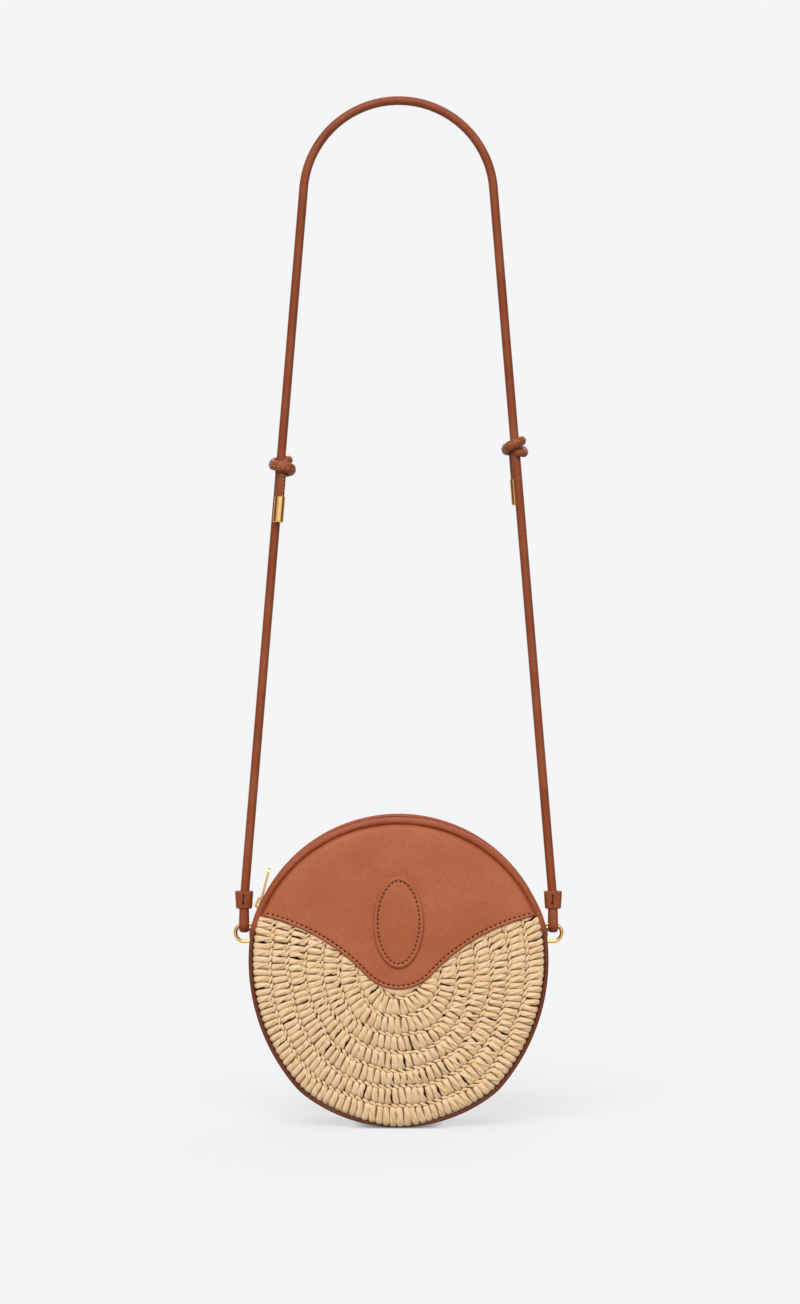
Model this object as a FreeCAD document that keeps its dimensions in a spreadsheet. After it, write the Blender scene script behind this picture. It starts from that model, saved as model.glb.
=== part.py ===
import FreeCAD, Part
import math
import os
import Sketcher
from FreeCAD import Placement, Rotation, Vector

# Round shoulder bag with a raffia front: leather yoke, piping, zipped gusset and a cord strap.
# Millimetres and degrees. +Z is up and the front faces -Y.
# The origin is the underside of the strap at its crown, where a hook or a shoulder carries it.

# Driving sizes: name, value, meaning
SIZES = (
    ("body_radius", 95.7, "outline radius over the top and the bottom, piping included"),
    ("side_press", 3.1, "how far the sides are drawn in from that circle, at their widest"),
    ("side_extra_radius", 24.3, "radius of the drawn-in sides, over that of the circle"),
    ("side_rise", 7.3, "widest point of the sides above the bag's middle"),
    ("shoulder_radius", 40, "radius that joins a side to the circle"),
    ("gusset_depth", 46, "width of the side wall, front to back"),
    ("gusset_inset", 2.4, "side wall below the outline"),
    ("gusset_wall", 1.6, "side wall leather"),
    ("piping_diameter", 2.8, "welt round each panel"),
    ("panel_gap", 0.2, "room between a panel and its piping"),
    ("front_crown", 5, "bulge of the front"),
    ("back_crown", 3, "bulge of the back"),
    ("lining_thickness", 0.6, "lining cloth"),
    ("lining_gap", 0.2, "room round the lining"),
    ("backing_thickness", 0.8, "dark cloth behind the raffia"),
    ("padding_thickness", 2.6, "foam under the yoke"),
    ("yoke_leather", 1.4, "yoke leather"),
    ("raffia_thickness", 3.4, "crocheted panel"),
    ("tuck_width", 6, "raffia sewn in under the yoke's edge"),
    ("bell_tip_drop", 9.8, "lowest point of the yoke below the bag's middle"),
    ("bell_tip_radius", 28, "round tip of the yoke"),
    ("bell_shoulder_radius", 121, "sweep from the tip out to the side"),
    ("bell_turn", 47, "slope where the tip meets the sweep"),
    ("badge_width", 31.4, "oval patch, across"),
    ("badge_height", 56.5, "oval patch, up and down"),
    ("badge_rise", 31.4, "middle of the patch above the bag's middle"),
    ("badge_thickness", 1.4, "patch leather"),
    ("back_board", 0.8, "stiff board behind the back leather"),
    ("back_leather", 1.4, "back panel leather"),
    ("zip_half_angle", 69.5, "end of the zip, from the top of the bag"),
    ("zip_opening", 14, "between the two strips beside the zip"),
    ("tape_width", 9.8, "one zip tape"),
    ("tape_thickness", 0.6, "one zip tape"),
    ("tape_gap", 2.4, "between the edges of the tapes"),
    ("tooth_pitch", 3, "teeth along one tape"),
    ("tooth_length", 1.3, "tooth along the zip"),
    ("tooth_reach", 2.2, "tooth past the edge of its tape"),
    ("tooth_leg", 1.8, "tooth back over its tape"),
    ("tooth_height", 2.4, "tooth through the tape"),
    ("tooth_play", 0.05, "room between a tooth and its tape"),
    ("first_tooth_angle", 63.4, "first tooth at the closed end, from the top"),
    ("last_tooth_angle", 64.5, "last tooth at the open end, from the top"),
    ("stop_angle", 68.5, "stops at both ends, from the top"),
    ("stop_length", 1.8, "stop along the zip"),
    ("stop_gap", 0.6, "between the two stops at the closed end"),
    ("slider_angle", 64.7, "slider when the zip is closed, from the top"),
    ("slider_length", 9, "slider along the zip"),
    ("slider_width", 8, "slider across the zip"),
    ("slider_plate", 1.2, "plate over the teeth and plate under them"),
    ("slider_play", 0.25, "room between plates and teeth"),
    ("slider_lip", 0.7, "width of the turned-in edges"),
    ("slider_lip_drop", 0.9, "depth of the turned-in edges"),
    ("slider_corner", 2, "rounded corners of the plates"),
    ("wedge_width", 1.6, "post that parts the teeth"),
    ("wedge_length", 2.8, "post that parts the teeth"),
    ("wedge_inset", 0.4, "post behind the slider's mouth"),
    ("bail_length", 7.2, "bridge along the slider"),
    ("bail_width", 2.4, "bridge across the slider"),
    ("bail_bar", 1.6, "thickness of the bridge"),
    ("bail_gap", 2.6, "room under the bridge"),
    ("bail_round", 1.4, "rounded corners of the bridge"),
    ("pull_bar_diameter", 2, "cross bar of the pull, under the bridge"),
    ("pull_width", 6, "pull tab"),
    ("pull_length", 23.3, "cross bar to the end of the tab"),
    ("pull_thickness", 1.3, "pull tab"),
    ("pull_window_width", 3.2, "window that goes over the bridge"),
    ("pull_window_length", 5.6, "cross bar to the end of that window"),
    ("pull_lean", 11, "tab stands off the gusset at rest"),
    ("ring_rise", 22.5, "middle of the D-rings above the bag's middle"),
    ("ring_wire", 2.3, "D-ring wire"),
    ("ring_bend_radius", 5.4, "round end of the D-ring, on the wire's middle"),
    ("ring_corner", 1.8, "corners at the D-ring's bar, on the wire's middle"),
    ("ring_leg", 5.3, "bar to the middle of the round end"),
    ("ring_seat", 0.85, "bar outside the flat of the side wall"),
    ("tab_height", 6, "leather tab over the bar, up and down"),
    ("tab_depth", 16, "leather tab, front to back"),
    ("tab_leather", 0.9, "leather over the bar"),
    ("tab_proud", 0.5, "flat of the tab outside the flat of the side wall"),
    ("tab_root", 4, "depth of the blank that is trimmed to the side wall"),
    ("tab_play", 0.1, "room round the bar"),
    ("strap_drop", 514.3, "crown of the strap to the turning line in the rings, on the cord's middle"),
    ("hinge_sink", 0.42, "turning line below the top of the round end"),
    ("cord_diameter", 5.4, "strap cord"),
    ("arch_radius", 59.4, "bend of the strap over what carries it"),
    ("loop_width", 5.9, "flat folded end of the strap"),
    ("loop_leather", 2.4, "thickness of the fold"),
    ("loop_bore_radius", 2, "inside of the fold round the ring"),
    ("loop_neck", 4.9, "both layers together inside the keeper"),
    ("loop_eye", 9.4, "top of the eye above the turning line"),
    ("keeper_width", 11.2, "sleeve that closes the loop, across"),
    ("keeper_depth", 9.2, "sleeve, front to back"),
    ("keeper_height", 10.9, "sleeve, up and down"),
    ("keeper_rise", 10.2, "sleeve above the turning line"),
    ("keeper_corner", 2.6, "rounded corners of the sleeve"),
    ("keeper_play", 0.1, "room in the sleeve at the loop's sides"),
    ("keeper_mouth", 6.6, "room in the sleeve for the two layers"),
    ("keeper_bore", 6.5, "room in the sleeve for the cord"),
    ("cord_seat", 0.3, "between the cord's end and the loop, inside the sleeve"),
    ("knot_cord", 5.2, "cord that is tied round the strap"),
    ("knot_play", 0.35, "room between the strap and the knot"),
    ("left_knot_drop", 228.5, "left knot below the crown, on the cord's middle"),
    ("right_knot_drop", 217.2, "right knot below the crown, on the cord's middle"),
    ("knot_turn", 15, "degrees from straight in front of the strap to the left tail, and from behind to the right one"),
    ("ferrule_length", 16.2, "brass end of the tail"),
    ("ferrule_drop", 35, "bottom of the ferrule below the knot's middle"),
    ("ferrule_diameter", 6.6, "brass end of the tail"),
    ("ferrule_play", 0.1, "room between ferrule and tail"),
    ("ferrule_floor", 1.2, "closed bottom of the ferrule"),
    ("ferrule_round", 0.8, "rounded bottom edge of the ferrule"),
    ("overrun", 4, "how far a cutting shape runs past what it cuts"),
)

# Sizes that follow from those: name and formula
FOLLOWING = (
    ("half_width", "{body_radius} - {side_press}"),
    ("side_radius", "{body_radius} + {side_extra_radius}"),
    ("side_centre", "{side_radius} - {half_width}"),
    ("half_depth", "{gusset_depth} / 2"),
    ("piping_radius", "{piping_diameter} / 2"),
    ("piping_level", "{half_depth} + {piping_radius}"),
    ("piping_start", "{half_width} - {piping_radius}"),
    ("panel_inset", "{piping_diameter} + {panel_gap}"),
    ("gusset_inner_inset", "{gusset_inset} + {gusset_wall}"),
    ("lining_outer_inset", "{gusset_inner_inset} + {lining_gap}"),
    ("lining_inner_inset", "{lining_outer_inset} + {lining_thickness}"),
    ("lining_panel_inset", "{lining_inner_inset} + {lining_gap}"),
    ("lining_half_depth", "{half_depth} - {lining_gap}"),
    ("front_ball", "{body_radius} ^ 2 / (2 * {front_crown}) + {front_crown} / 2"),
    ("front_ball_level", "{front_ball} - {front_crown} - {half_depth}"),
    ("back_ball", "{body_radius} ^ 2 / (2 * {back_crown}) + {back_crown} / 2"),
    ("back_ball_level", "{half_depth} + {back_crown} - {back_ball}"),
    ("lining_clear", "{lining_thickness} + {lining_gap}"),
    ("backing_top", "{lining_clear} + {backing_thickness}"),
    ("padding_top", "{backing_top} + {padding_thickness}"),
    ("yoke_top", "{padding_top} + {yoke_leather}"),
    ("raffia_top", "{backing_top} + {raffia_thickness}"),
    ("badge_top", "{yoke_top} + {badge_thickness}"),
    ("board_top", "{lining_clear} + {back_board}"),
    ("back_top", "{board_top} + {back_leather}"),
    ("front_reach", "{half_depth} + {front_crown} + {badge_top} + {overrun}"),
    ("back_reach", "{half_depth} + {back_crown} + {back_top} + {overrun}"),
    ("bell_tip_centre", "{bell_tip_radius} - {bell_tip_drop}"),
    ("bell_spread", "({bell_tip_radius} + {bell_shoulder_radius}) * sin({bell_turn} * 1deg)"),
    ("yoke_high", "{body_radius} + {overrun}"),
    ("bag_level", "{hinge_level} - {ring_bend_radius} + {hinge_sink} - {ring_rise}"),
    ("hinge_level", "{cord_diameter} / 2 - {strap_drop}"),
    ("ring_level", "{bag_level} + {ring_rise}"),
    ("zip_sweep", "2 * {zip_half_angle}"),
    ("strip_edge", "{zip_opening} / 2"),
    ("strip_outer", "{body_radius} - {gusset_inset}"),
    ("strip_inner", "{strip_outer} - {gusset_wall}"),
    ("wedge_outer", "{body_radius} + {overrun}"),
    ("wedge_edge", "{half_depth} + {overrun}"),
    ("tape_edge", "{tape_gap} / 2"),
    ("tape_far_edge", "{tape_edge} + {tape_width}"),
    ("tape_inner", "{strip_inner} - {tape_thickness}"),
    ("tape_middle", "{strip_inner} - {tape_thickness} / 2"),
    ("tooth_far", "{tape_edge} + {tooth_leg}"),
    ("tooth_tip", "{tooth_reach} - {tape_edge}"),
    ("stop_tip", "{stop_gap} / 2"),
    ("tooth_low", "{tape_middle} - {tooth_height} / 2"),
    ("tooth_high", "{tape_middle} + {tooth_height} / 2"),
    ("tooth_slot_low", "{tape_inner} - {tooth_play}"),
    ("tooth_slot_high", "{strip_inner} + {tooth_play}"),
    ("top_plate_low", "{tooth_high} + {slider_play}"),
    ("top_plate_high", "{top_plate_low} + {slider_plate}"),
    ("under_plate_high", "{tooth_low} - {slider_play}"),
    ("under_plate_low", "{under_plate_high} - {slider_plate}"),
    ("slider_half_length", "{slider_length} / 2"),
    ("slider_half_width", "{slider_width} / 2"),
    ("lip_inner", "{slider_half_width} - {slider_lip}"),
    ("top_lip_low", "{top_plate_low} - {slider_lip_drop}"),
    ("under_lip_high", "{under_plate_high} + {slider_lip_drop}"),
    ("wedge_front", "{slider_half_length} - {wedge_inset}"),
    ("wedge_back", "{wedge_front} - {wedge_length}"),
    ("wedge_half_width", "{wedge_width} / 2"),
    ("wedge_height", "{top_plate_low} - {under_plate_high}"),
    ("bail_half_length", "{bail_length} / 2"),
    ("bail_window_half", "{bail_half_length} - {bail_bar}"),
    ("bail_under", "{top_plate_high} + {bail_gap}"),
    ("bail_top", "{bail_under} + {bail_bar}"),
    ("pull_pivot", "{top_plate_high} + {bail_gap} / 2"),
    ("pull_bar_radius", "{pull_bar_diameter} / 2"),
    ("pull_arm_start", "{pull_bar_radius} / 2"),
    ("pull_half_width", "{pull_width} / 2"),
    ("pull_end_centre", "{pull_length} - {pull_half_width}"),
    ("pull_window_half", "{pull_window_width} / 2"),
    ("ring_bar", "{half_width} - {gusset_inset} + {ring_seat}"),
    ("ring_wire_radius", "{ring_wire} / 2"),
    ("strap_side", "{ring_bar} + {ring_leg}"),
    ("tab_bump_radius", "{ring_wire_radius} + {tab_play} + {tab_leather}"),
    ("tab_bore_radius", "{ring_wire_radius} + {tab_play}"),
    ("tab_outer", "{half_width} - {gusset_inset} + {tab_proud}"),
    ("loop_radius", "{loop_bore_radius} + {loop_leather}"),
    ("loop_half_neck", "{loop_neck} / 2"),
    ("keeper_middle", "{keeper_rise} + {keeper_height} / 2"),
    ("keeper_half_height", "{keeper_height} / 2"),
    ("keeper_half_width", "{keeper_width} / 2"),
    ("keeper_half_depth", "{keeper_depth} / 2"),
    ("keeper_slot_half", "{loop_width} / 2 + {keeper_play}"),
    ("keeper_mouth_half", "{keeper_mouth} / 2"),
    ("keeper_bore_radius", "{keeper_bore} / 2"),
    ("cord_radius", "{cord_diameter} / 2"),
    ("knot_radius", "{cord_radius} + {knot_play} + {knot_cord} / 2"),
    ("tail_length", "{ferrule_drop} - {ferrule_floor}"),
    ("ferrule_radius", "{ferrule_diameter} / 2"),
    ("ferrule_bore", "{knot_cord} / 2 + {ferrule_play}"),
)

# Corners of the strap's bend, as shares of the bend's radius: out from the middle, up from its centre
ARCH_SHARES = ((0.976, 0.334), (0.699, 0.759), (0.253, 1.0))

# The knot's cord from the tail to its tucked end: degrees round the strap from the front,
# then, as shares of the knot's cord, how far outside the wrapping radius and how far up
KNOT_SHARES = (
    (0, 0.10, -1.75),
    (1, 0.03, -0.22),
    (20, 0.12, 0.64),
    (64, 0.15, 0.96),
    (122, 0.16, 0.94),
    (178, 0.16, 0.76),
    (228, 0.13, 0.52),
    (272, 0.17, 0.28),
    (312, 0.60, 0.10),
    (345, 1.16, -0.02),
    (377, 1.26, -0.12),
    (409, 0.80, -0.20),
    (448, 0.20, -0.28),
    (490, 0.13, -0.36),
    (524, 0.10, -0.42),
)

doc = FreeCAD.newDocument("CircleBag")
sheet = doc.addObject("Spreadsheet::Sheet", "Sizes")
for row, (alias, value, meaning) in enumerate(SIZES, start=1):
    sheet.set(f"A{row}", meaning)
    sheet.set(f"B{row}", str(value))
    sheet.setAlias(f"B{row}", alias)

follow_sheet = doc.addObject("Spreadsheet::Sheet", "Following")
TERMS = {alias: f"Sizes.{alias}" for alias, value, meaning in SIZES}
TERMS.update({alias: f"Following.{alias}" for alias, formula in FOLLOWING})
for row, (alias, formula) in enumerate(FOLLOWING, start=1):
    follow_sheet.setAlias(f"B{row}", alias)
for row, (alias, formula) in enumerate(FOLLOWING, start=1):
    follow_sheet.set(f"A{row}", alias)
    follow_sheet.set(f"B{row}", "=" + formula.format(**TERMS))
doc.recompute()

FRONT = Vector(0, -1, 0)
BACK = Vector(0, 1, 0)
UPRIGHT = Placement(Vector(0, 0, 0), Rotation(Vector(1, 0, 0), 90))
PARTS = []


def size(term):
    """Present value of a named size; a leading minus turns its sign."""
    alias = term.lstrip("-")
    home = sheet if TERMS[alias].startswith("Sizes") else follow_sheet
    value = float(getattr(home, alias))
    return -value if term.startswith("-") else value


def cell(term):
    """Expression that reads a named size."""
    sign = "-" if term.startswith("-") else ""
    return sign + TERMS[term.lstrip("-")]


def bind(item, **terms):
    for name, term in terms.items():
        item.setExpression(name, cell(term))


def keep(item, label):
    """Marks an object as one of the bag's pieces."""
    item.Label = label
    PARTS.append(item)
    return item


def place(item, level, side=None, rotation=Rotation()):
    """Stands a piece at a named height and, if given, a named distance to the side."""
    item.Placement = Placement(Vector(0, 0, 0), rotation)
    item.setExpression("Placement.Base.z", cell(level))
    if side:
        item.setExpression("Placement.Base.x", cell(side))


# Sketch helpers

def measure(sketch, kind, term, *where):
    """Adds a dimension that reads a named size."""
    index = sketch.addConstraint(Sketcher.Constraint(kind, *where, size(term)))
    sketch.setExpression(f"Constraints[{index}]", cell(term))


def constrain(sketch, *rules):
    for rule in rules:
        sketch.addConstraint(Sketcher.Constraint(*rule))


def arc(centre_x, centre_y, radius, start, end):
    circle = Part.Circle(Vector(centre_x, centre_y, 0), Vector(0, 0, 1), radius)
    return Part.ArcOfCircle(circle, start, end)


def stepped_profile(sketch, *terms):
    """A closed outline of level and upright lines in turn, each at a named distance from an axis."""
    count = len(terms)
    levels, uprights = terms[0::2], terms[1::2]
    corners = []
    for step, level in enumerate(levels):
        corners.append(Vector(size(uprights[step - 1]), size(level), 0))
        corners.append(Vector(size(uprights[step]), size(level), 0))
    first = sketch.GeometryCount
    lines = [first + step for step in range(count)]
    for start, end in zip(corners, corners[1:] + corners[:1]):
        sketch.addGeometry(Part.LineSegment(start, end))
    for line, after in zip(lines, lines[1:] + lines[:1]):
        constrain(sketch, ("Coincident", line, 2, after, 1))
    for line, term in zip(lines[0::2], levels):
        constrain(sketch, ("Horizontal", line))
        measure(sketch, "DistanceY", term, -1, 1, line, 1)
    for line, term in zip(lines[1::2], uprights):
        constrain(sketch, ("Vertical", line))
        measure(sketch, "DistanceX", term, -1, 1, line, 1)


def rectangle(sketch, left, right, low, high):
    stepped_profile(sketch, low, right, high, left)


def circle_on_axis(sketch, radius, term, axis):
    """A circle whose centre lies a named distance along the sketch's X or Y axis."""
    along = Vector(size(term), 0, 0) if axis == "X" else Vector(0, size(term), 0)
    index = sketch.addGeometry(Part.Circle(along, Vector(0, 0, 1), size(radius)))
    other_axis = -1 if axis == "X" else -2
    constrain(sketch, ("PointOnObject", index, 3, other_axis))
    measure(sketch, f"Distance{axis}", term, -1, 1, index, 3)
    measure(sketch, "Radius", radius, index)


def centred_circle(sketch, radius):
    index = sketch.addGeometry(Part.Circle(Vector(0, 0, 0), Vector(0, 0, 1), size(radius)))
    constrain(sketch, ("Coincident", index, 3, -1, 1))
    measure(sketch, "Radius", radius, index)


# Body helpers

def new_body(label):
    body = doc.addObject("PartDesign::Body", label)
    return keep(body, label)


def new_sketch(body, role, lift=None):
    """A sketch on one of the body's own planes, lifted off it by a named distance."""
    sketch = body.newObject("Sketcher::SketchObject", f"{body.Name}_profile")
    plane = next(item for item in body.Origin.OriginFeatures if item.Role == role)
    sketch.AttachmentSupport = [(plane, "")]
    sketch.MapMode = "FlatFace"
    if lift:
        sketch.setExpression("AttachmentOffset.Base.z", cell(lift))
    return sketch


def pad(body, sketch, length, centred=False):
    feature = body.newObject("PartDesign::Pad", f"{body.Name}_pad")
    feature.Profile = sketch
    bind(feature, Length=length)
    if centred:
        feature.SideType = "Symmetric"
    return feature


def pocket(body, sketch, length, centred=False, flipped=False):
    feature = body.newObject("PartDesign::Pocket", f"{body.Name}_pocket")
    feature.Profile = sketch
    bind(feature, Length=length)
    feature.Reversed = flipped
    if centred:
        feature.SideType = "Symmetric"
    return feature


def revolve(body, sketch, axis, angle=None):
    feature = body.newObject("PartDesign::Revolution", f"{body.Name}_turn")
    feature.Profile = sketch
    feature.ReferenceAxis = (sketch, [axis])
    if angle:
        bind(feature, Angle=angle)
        feature.Midplane = True
    return feature


def fillet(body, base, radius, chosen):
    """Rounds the edges of the last feature that the chosen test picks."""
    doc.recompute()
    names = [f"Edge{index}" for index, edge in enumerate(base.Shape.Edges, start=1) if chosen(edge)]
    feature = body.newObject("PartDesign::Fillet", f"{body.Name}_round")
    feature.Base = (base, names)
    bind(feature, Radius=radius)
    return feature


def runs_along(edge, direction):
    """True for a straight edge that lies along a direction."""
    if edge.Curve.TypeId != "Part::GeomLine":
        return False
    return abs(edge.tangentAt(edge.FirstParameter).dot(direction)) > STRAIGHT_SHARE


STRAIGHT_SHARE = 0.99


# Part helpers

def boolean(kind, base, tool, name="step"):
    item = doc.addObject(f"Part::{kind}", name)
    item.Base = base
    item.Tool = tool
    return item


def prism(base, direction, forward, backward=None):
    """Carries a flat outline along Y."""
    item = doc.addObject("Part::Extrusion", "prism")
    item.Base = base
    item.DirMode = "Custom"
    item.Dir = direction
    item.Solid = True
    bind(item, LengthFwd=forward)
    if backward:
        bind(item, LengthRev=backward)
    return item


# The bag's outline: a circle with drawn-in sides, nine tangent arcs from the right-hand side round

def corner_centre(side_x, side_y, upward):
    """Middle of the arc that touches the circle and a side from inside, above or below."""
    from_top = size("body_radius") - size("shoulder_radius")
    from_side = size("side_radius") - size("shoulder_radius")
    apart = math.hypot(side_x, side_y)
    along = (from_top ** 2 - from_side ** 2 + apart ** 2) / (2 * apart)
    off = upward * math.sqrt(from_top ** 2 - along ** 2)
    return (along * side_x + off * side_y) / apart, (along * side_y - off * side_x) / apart


def draw_outline():
    top, corner, side = size("body_radius"), size("shoulder_radius"), size("side_radius")
    side_x, side_y = -size("side_centre"), size("side_rise")
    high_x, high_y = corner_centre(side_x, side_y, 1)
    low_x, low_y = corner_centre(side_x, side_y, -1)
    high, low = math.atan2(high_y, high_x), math.atan2(low_y, low_x)
    side_high = math.atan2(high_y - side_y, high_x - side_x)
    side_low = math.atan2(low_y - side_y, low_x - side_x)
    half, full = math.pi, 2 * math.pi
    sketch = doc.addObject("Sketcher::SketchObject", "bag_outline")
    sketch.Placement = UPRIGHT
    arcs = (
        arc(side_x, side_y, side, 0, side_high),
        arc(high_x, high_y, corner, side_high, high),
        arc(0, 0, top, high, half - high),
        arc(-high_x, high_y, corner, half - high, half - side_high),
        arc(-side_x, side_y, side, half - side_high, half - side_low),
        arc(-low_x, low_y, corner, half - side_low, half - low),
        arc(0, 0, top, half - low, full + low),
        arc(low_x, low_y, corner, full + low, full + side_low),
        arc(side_x, side_y, side, full + side_low, full),
    )
    for piece in arcs:
        sketch.addGeometry(piece)
    right_up, corner_1, over, corner_2, left, corner_3, under, corner_4, right_low = range(len(arcs))
    for piece in range(right_low):
        constrain(sketch, ("Tangent", piece, 2, piece + 1, 1))
    constrain(sketch, ("Coincident", right_low, 2, right_up, 1), ("Coincident", right_low, 3, right_up, 3))
    constrain(sketch, ("Horizontal", right_up, 1, right_up, 3), ("Horizontal", right_up, 3, left, 3))
    for piece in (over, under):
        constrain(sketch, ("Coincident", piece, 3, -1, 1))
    constrain(sketch, ("Equal", over, under), ("Equal", right_up, left))
    for piece in (corner_2, corner_3, corner_4):
        constrain(sketch, ("Equal", corner_1, piece))
    measure(sketch, "Radius", "body_radius", over)
    measure(sketch, "Radius", "shoulder_radius", corner_1)
    measure(sketch, "Radius", "side_radius", right_up)
    measure(sketch, "DistanceX", "side_centre", right_up, 3, -1, 1)
    measure(sketch, "DistanceX", "side_centre", -1, 1, left, 3)
    measure(sketch, "DistanceY", "side_rise", -1, 1, right_up, 3)
    return sketch


outline = draw_outline()
doc.recompute()


def inset_outline(inset):
    item = doc.addObject("Part::Offset2D", "inset_outline")
    item.Source = outline
    item.Join = "Intersection"
    bind(item, Value="-" + inset)
    return item


panel_outline = inset_outline("panel_inset")
lining_panel_outline = inset_outline("lining_panel_inset")
gusset_outline = inset_outline("gusset_inset")
gusset_inner_outline = inset_outline("gusset_inner_inset")


# The yoke's edge: a round tip between two long sweeps, closed above the bag

def draw_yoke():
    tip, sweep = size("bell_tip_radius"), size("bell_shoulder_radius")
    turn = math.radians(size("bell_turn"))
    tip_y = size("bell_tip_centre")
    sweep_x = size("bell_spread")
    sweep_y = tip_y - (tip + sweep) * math.cos(turn)
    high = size("yoke_high")
    quarter = math.pi / 2
    sketch = doc.addObject("Sketcher::SketchObject", "yoke_edge")
    sketch.Placement = UPRIGHT
    left = sketch.addGeometry(arc(-sweep_x, sweep_y, sweep, quarter - turn, quarter))
    middle = sketch.addGeometry(arc(0, tip_y, tip, -quarter - turn, -quarter + turn))
    right = sketch.addGeometry(arc(sweep_x, sweep_y, sweep, quarter, quarter + turn))
    corners = (
        Vector(-sweep_x, sweep_y + sweep, 0),
        Vector(-sweep_x, high, 0),
        Vector(sweep_x, high, 0),
        Vector(sweep_x, sweep_y + sweep, 0),
    )
    lines = [sketch.addGeometry(Part.LineSegment(a, b)) for a, b in zip(corners, corners[1:])]
    left_line, top_line, right_line = lines
    constrain(sketch, ("Tangent", left, 1, middle, 1), ("Tangent", middle, 2, right, 2))
    constrain(sketch, ("Coincident", left, 2, left_line, 1), ("Coincident", left_line, 2, top_line, 1))
    constrain(sketch, ("Coincident", top_line, 2, right_line, 1), ("Coincident", right_line, 2, right, 1))
    constrain(sketch, ("Vertical", left_line), ("Horizontal", top_line), ("Vertical", right_line))
    constrain(sketch, ("PointOnObject", middle, 3, -2), ("Equal", left, right))
    constrain(sketch, ("Vertical", left, 3, left, 2), ("Vertical", right, 3, right, 1))
    measure(sketch, "DistanceY", "bell_tip_centre", -1, 1, middle, 3)
    measure(sketch, "Radius", "bell_tip_radius", middle)
    measure(sketch, "Radius", "bell_shoulder_radius", left)
    measure(sketch, "DistanceX", "bell_spread", left, 3, -1, 1)
    measure(sketch, "DistanceX", "bell_spread", -1, 1, right, 3)
    measure(sketch, "DistanceY", "yoke_high", -1, 1, top_line, 1)
    return sketch


yoke_edge = draw_yoke()


# Panels: each layer is the stretch of an outline between two balls with one centre, so it bulges

def ball(radius_from, centre, layer=None):
    item = doc.addObject("Part::Sphere", "ball")
    formula = cell(radius_from)
    if layer:
        formula = f"{formula} + {cell(layer)}"
    item.setExpression("Radius", formula)
    item.setExpression("Placement.Base.y", cell(centre))
    return item


FRONT_LAYERS = (
    "lining_thickness", "lining_clear", "backing_top", "padding_top", "yoke_top", "raffia_top", "badge_top"
)
FRONT_BALLS = {
    layer: ball("front_ball", "front_ball_level", layer)
    for layer in FRONT_LAYERS
}
FRONT_BALLS["inside"] = ball("front_ball", "front_ball_level")
BACK_BALLS = {
    layer: ball("back_ball", "back_ball_level", layer)
    for layer in ("lining_thickness", "lining_clear", "board_top", "back_top")
}
BACK_BALLS["inside"] = ball("back_ball", "back_ball_level")


def layer_between(blank, balls, low, high):
    return boolean("Cut", boolean("Common", blank, balls[high]), balls[low])


def make_front():
    blank = prism(panel_outline, FRONT, "front_reach")
    upper = prism(yoke_edge, FRONT, "front_reach")
    upper_above_tuck = prism(yoke_edge, FRONT, "front_reach")
    upper_above_tuck.setExpression("Placement.Base.z", cell("tuck_width"))
    yoke = layer_between(boolean("Common", blank, upper), FRONT_BALLS, "padding_top", "yoke_top")
    padding_blank = boolean("Common", blank, upper_above_tuck)
    padding = layer_between(padding_blank, FRONT_BALLS, "backing_top", "padding_top")
    seen_raffia = layer_between(boolean("Cut", blank, upper), FRONT_BALLS, "backing_top", "raffia_top")
    tuck_blank = boolean("Cut", blank, upper_above_tuck)
    tucked_raffia = layer_between(tuck_blank, FRONT_BALLS, "backing_top", "padding_top")
    raffia = boolean("Fuse", seen_raffia, tucked_raffia)
    backing = layer_between(blank, FRONT_BALLS, "lining_clear", "backing_top")
    lining_blank = prism(lining_panel_outline, FRONT, "front_reach")
    lining = layer_between(lining_blank, FRONT_BALLS, "inside", "lining_thickness")
    named = (
        (yoke, "front_yoke"),
        (padding, "yoke_padding"),
        (raffia, "raffia_panel"),
        (backing, "raffia_backing"),
        (lining, "front_lining"),
    )
    for item, label in named:
        place(keep(item, label), "bag_level")


def make_badge():
    oval = doc.addObject("Part::Ellipse", "badge_oval")
    oval.setExpression("MajorRadius", cell("badge_height") + " / 2")
    oval.setExpression("MinorRadius", cell("badge_width") + " / 2")
    standing = Rotation(Vector(0, 0, 1), Vector(1, 0, 0), Vector(0, 1, 0), "ZXY")
    oval.Placement = Placement(Vector(0, 0, 0), standing)
    oval.setExpression("Placement.Base.z", cell("badge_rise"))
    blank = prism(oval, FRONT, "front_reach")
    badge = layer_between(blank, FRONT_BALLS, "yoke_top", "badge_top")
    place(keep(badge, "front_badge"), "bag_level")


def make_back():
    blank = prism(panel_outline, BACK, "back_reach")
    leather = layer_between(blank, BACK_BALLS, "board_top", "back_top")
    board = layer_between(blank, BACK_BALLS, "lining_clear", "board_top")
    lining_blank = prism(lining_panel_outline, BACK, "back_reach")
    lining = layer_between(lining_blank, BACK_BALLS, "inside", "lining_thickness")
    for item, label in ((leather, "back_panel"), (board, "back_stiffener"), (lining, "back_lining")):
        place(keep(item, label), "bag_level")


def make_piping(label, level):
    path = inset_outline("piping_radius")
    path.setExpression("Placement.Base.y", cell(level))
    section = doc.addObject("Part::Circle", "piping_section")
    bind(section, Radius="piping_radius")
    section.setExpression("Placement.Base.x", cell("piping_start"))
    section.setExpression("Placement.Base.y", cell(level))
    section.setExpression("Placement.Base.z", cell("side_rise"))
    doc.recompute()
    tube = doc.addObject("Part::Sweep", label)
    tube.Sections = [section]
    tube.Spine = (path, [f"Edge{index}" for index in range(1, len(path.Shape.Edges) + 1)])
    tube.Solid = True
    tube.Frenet = False
    place(keep(tube, label), "bag_level")


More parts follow.
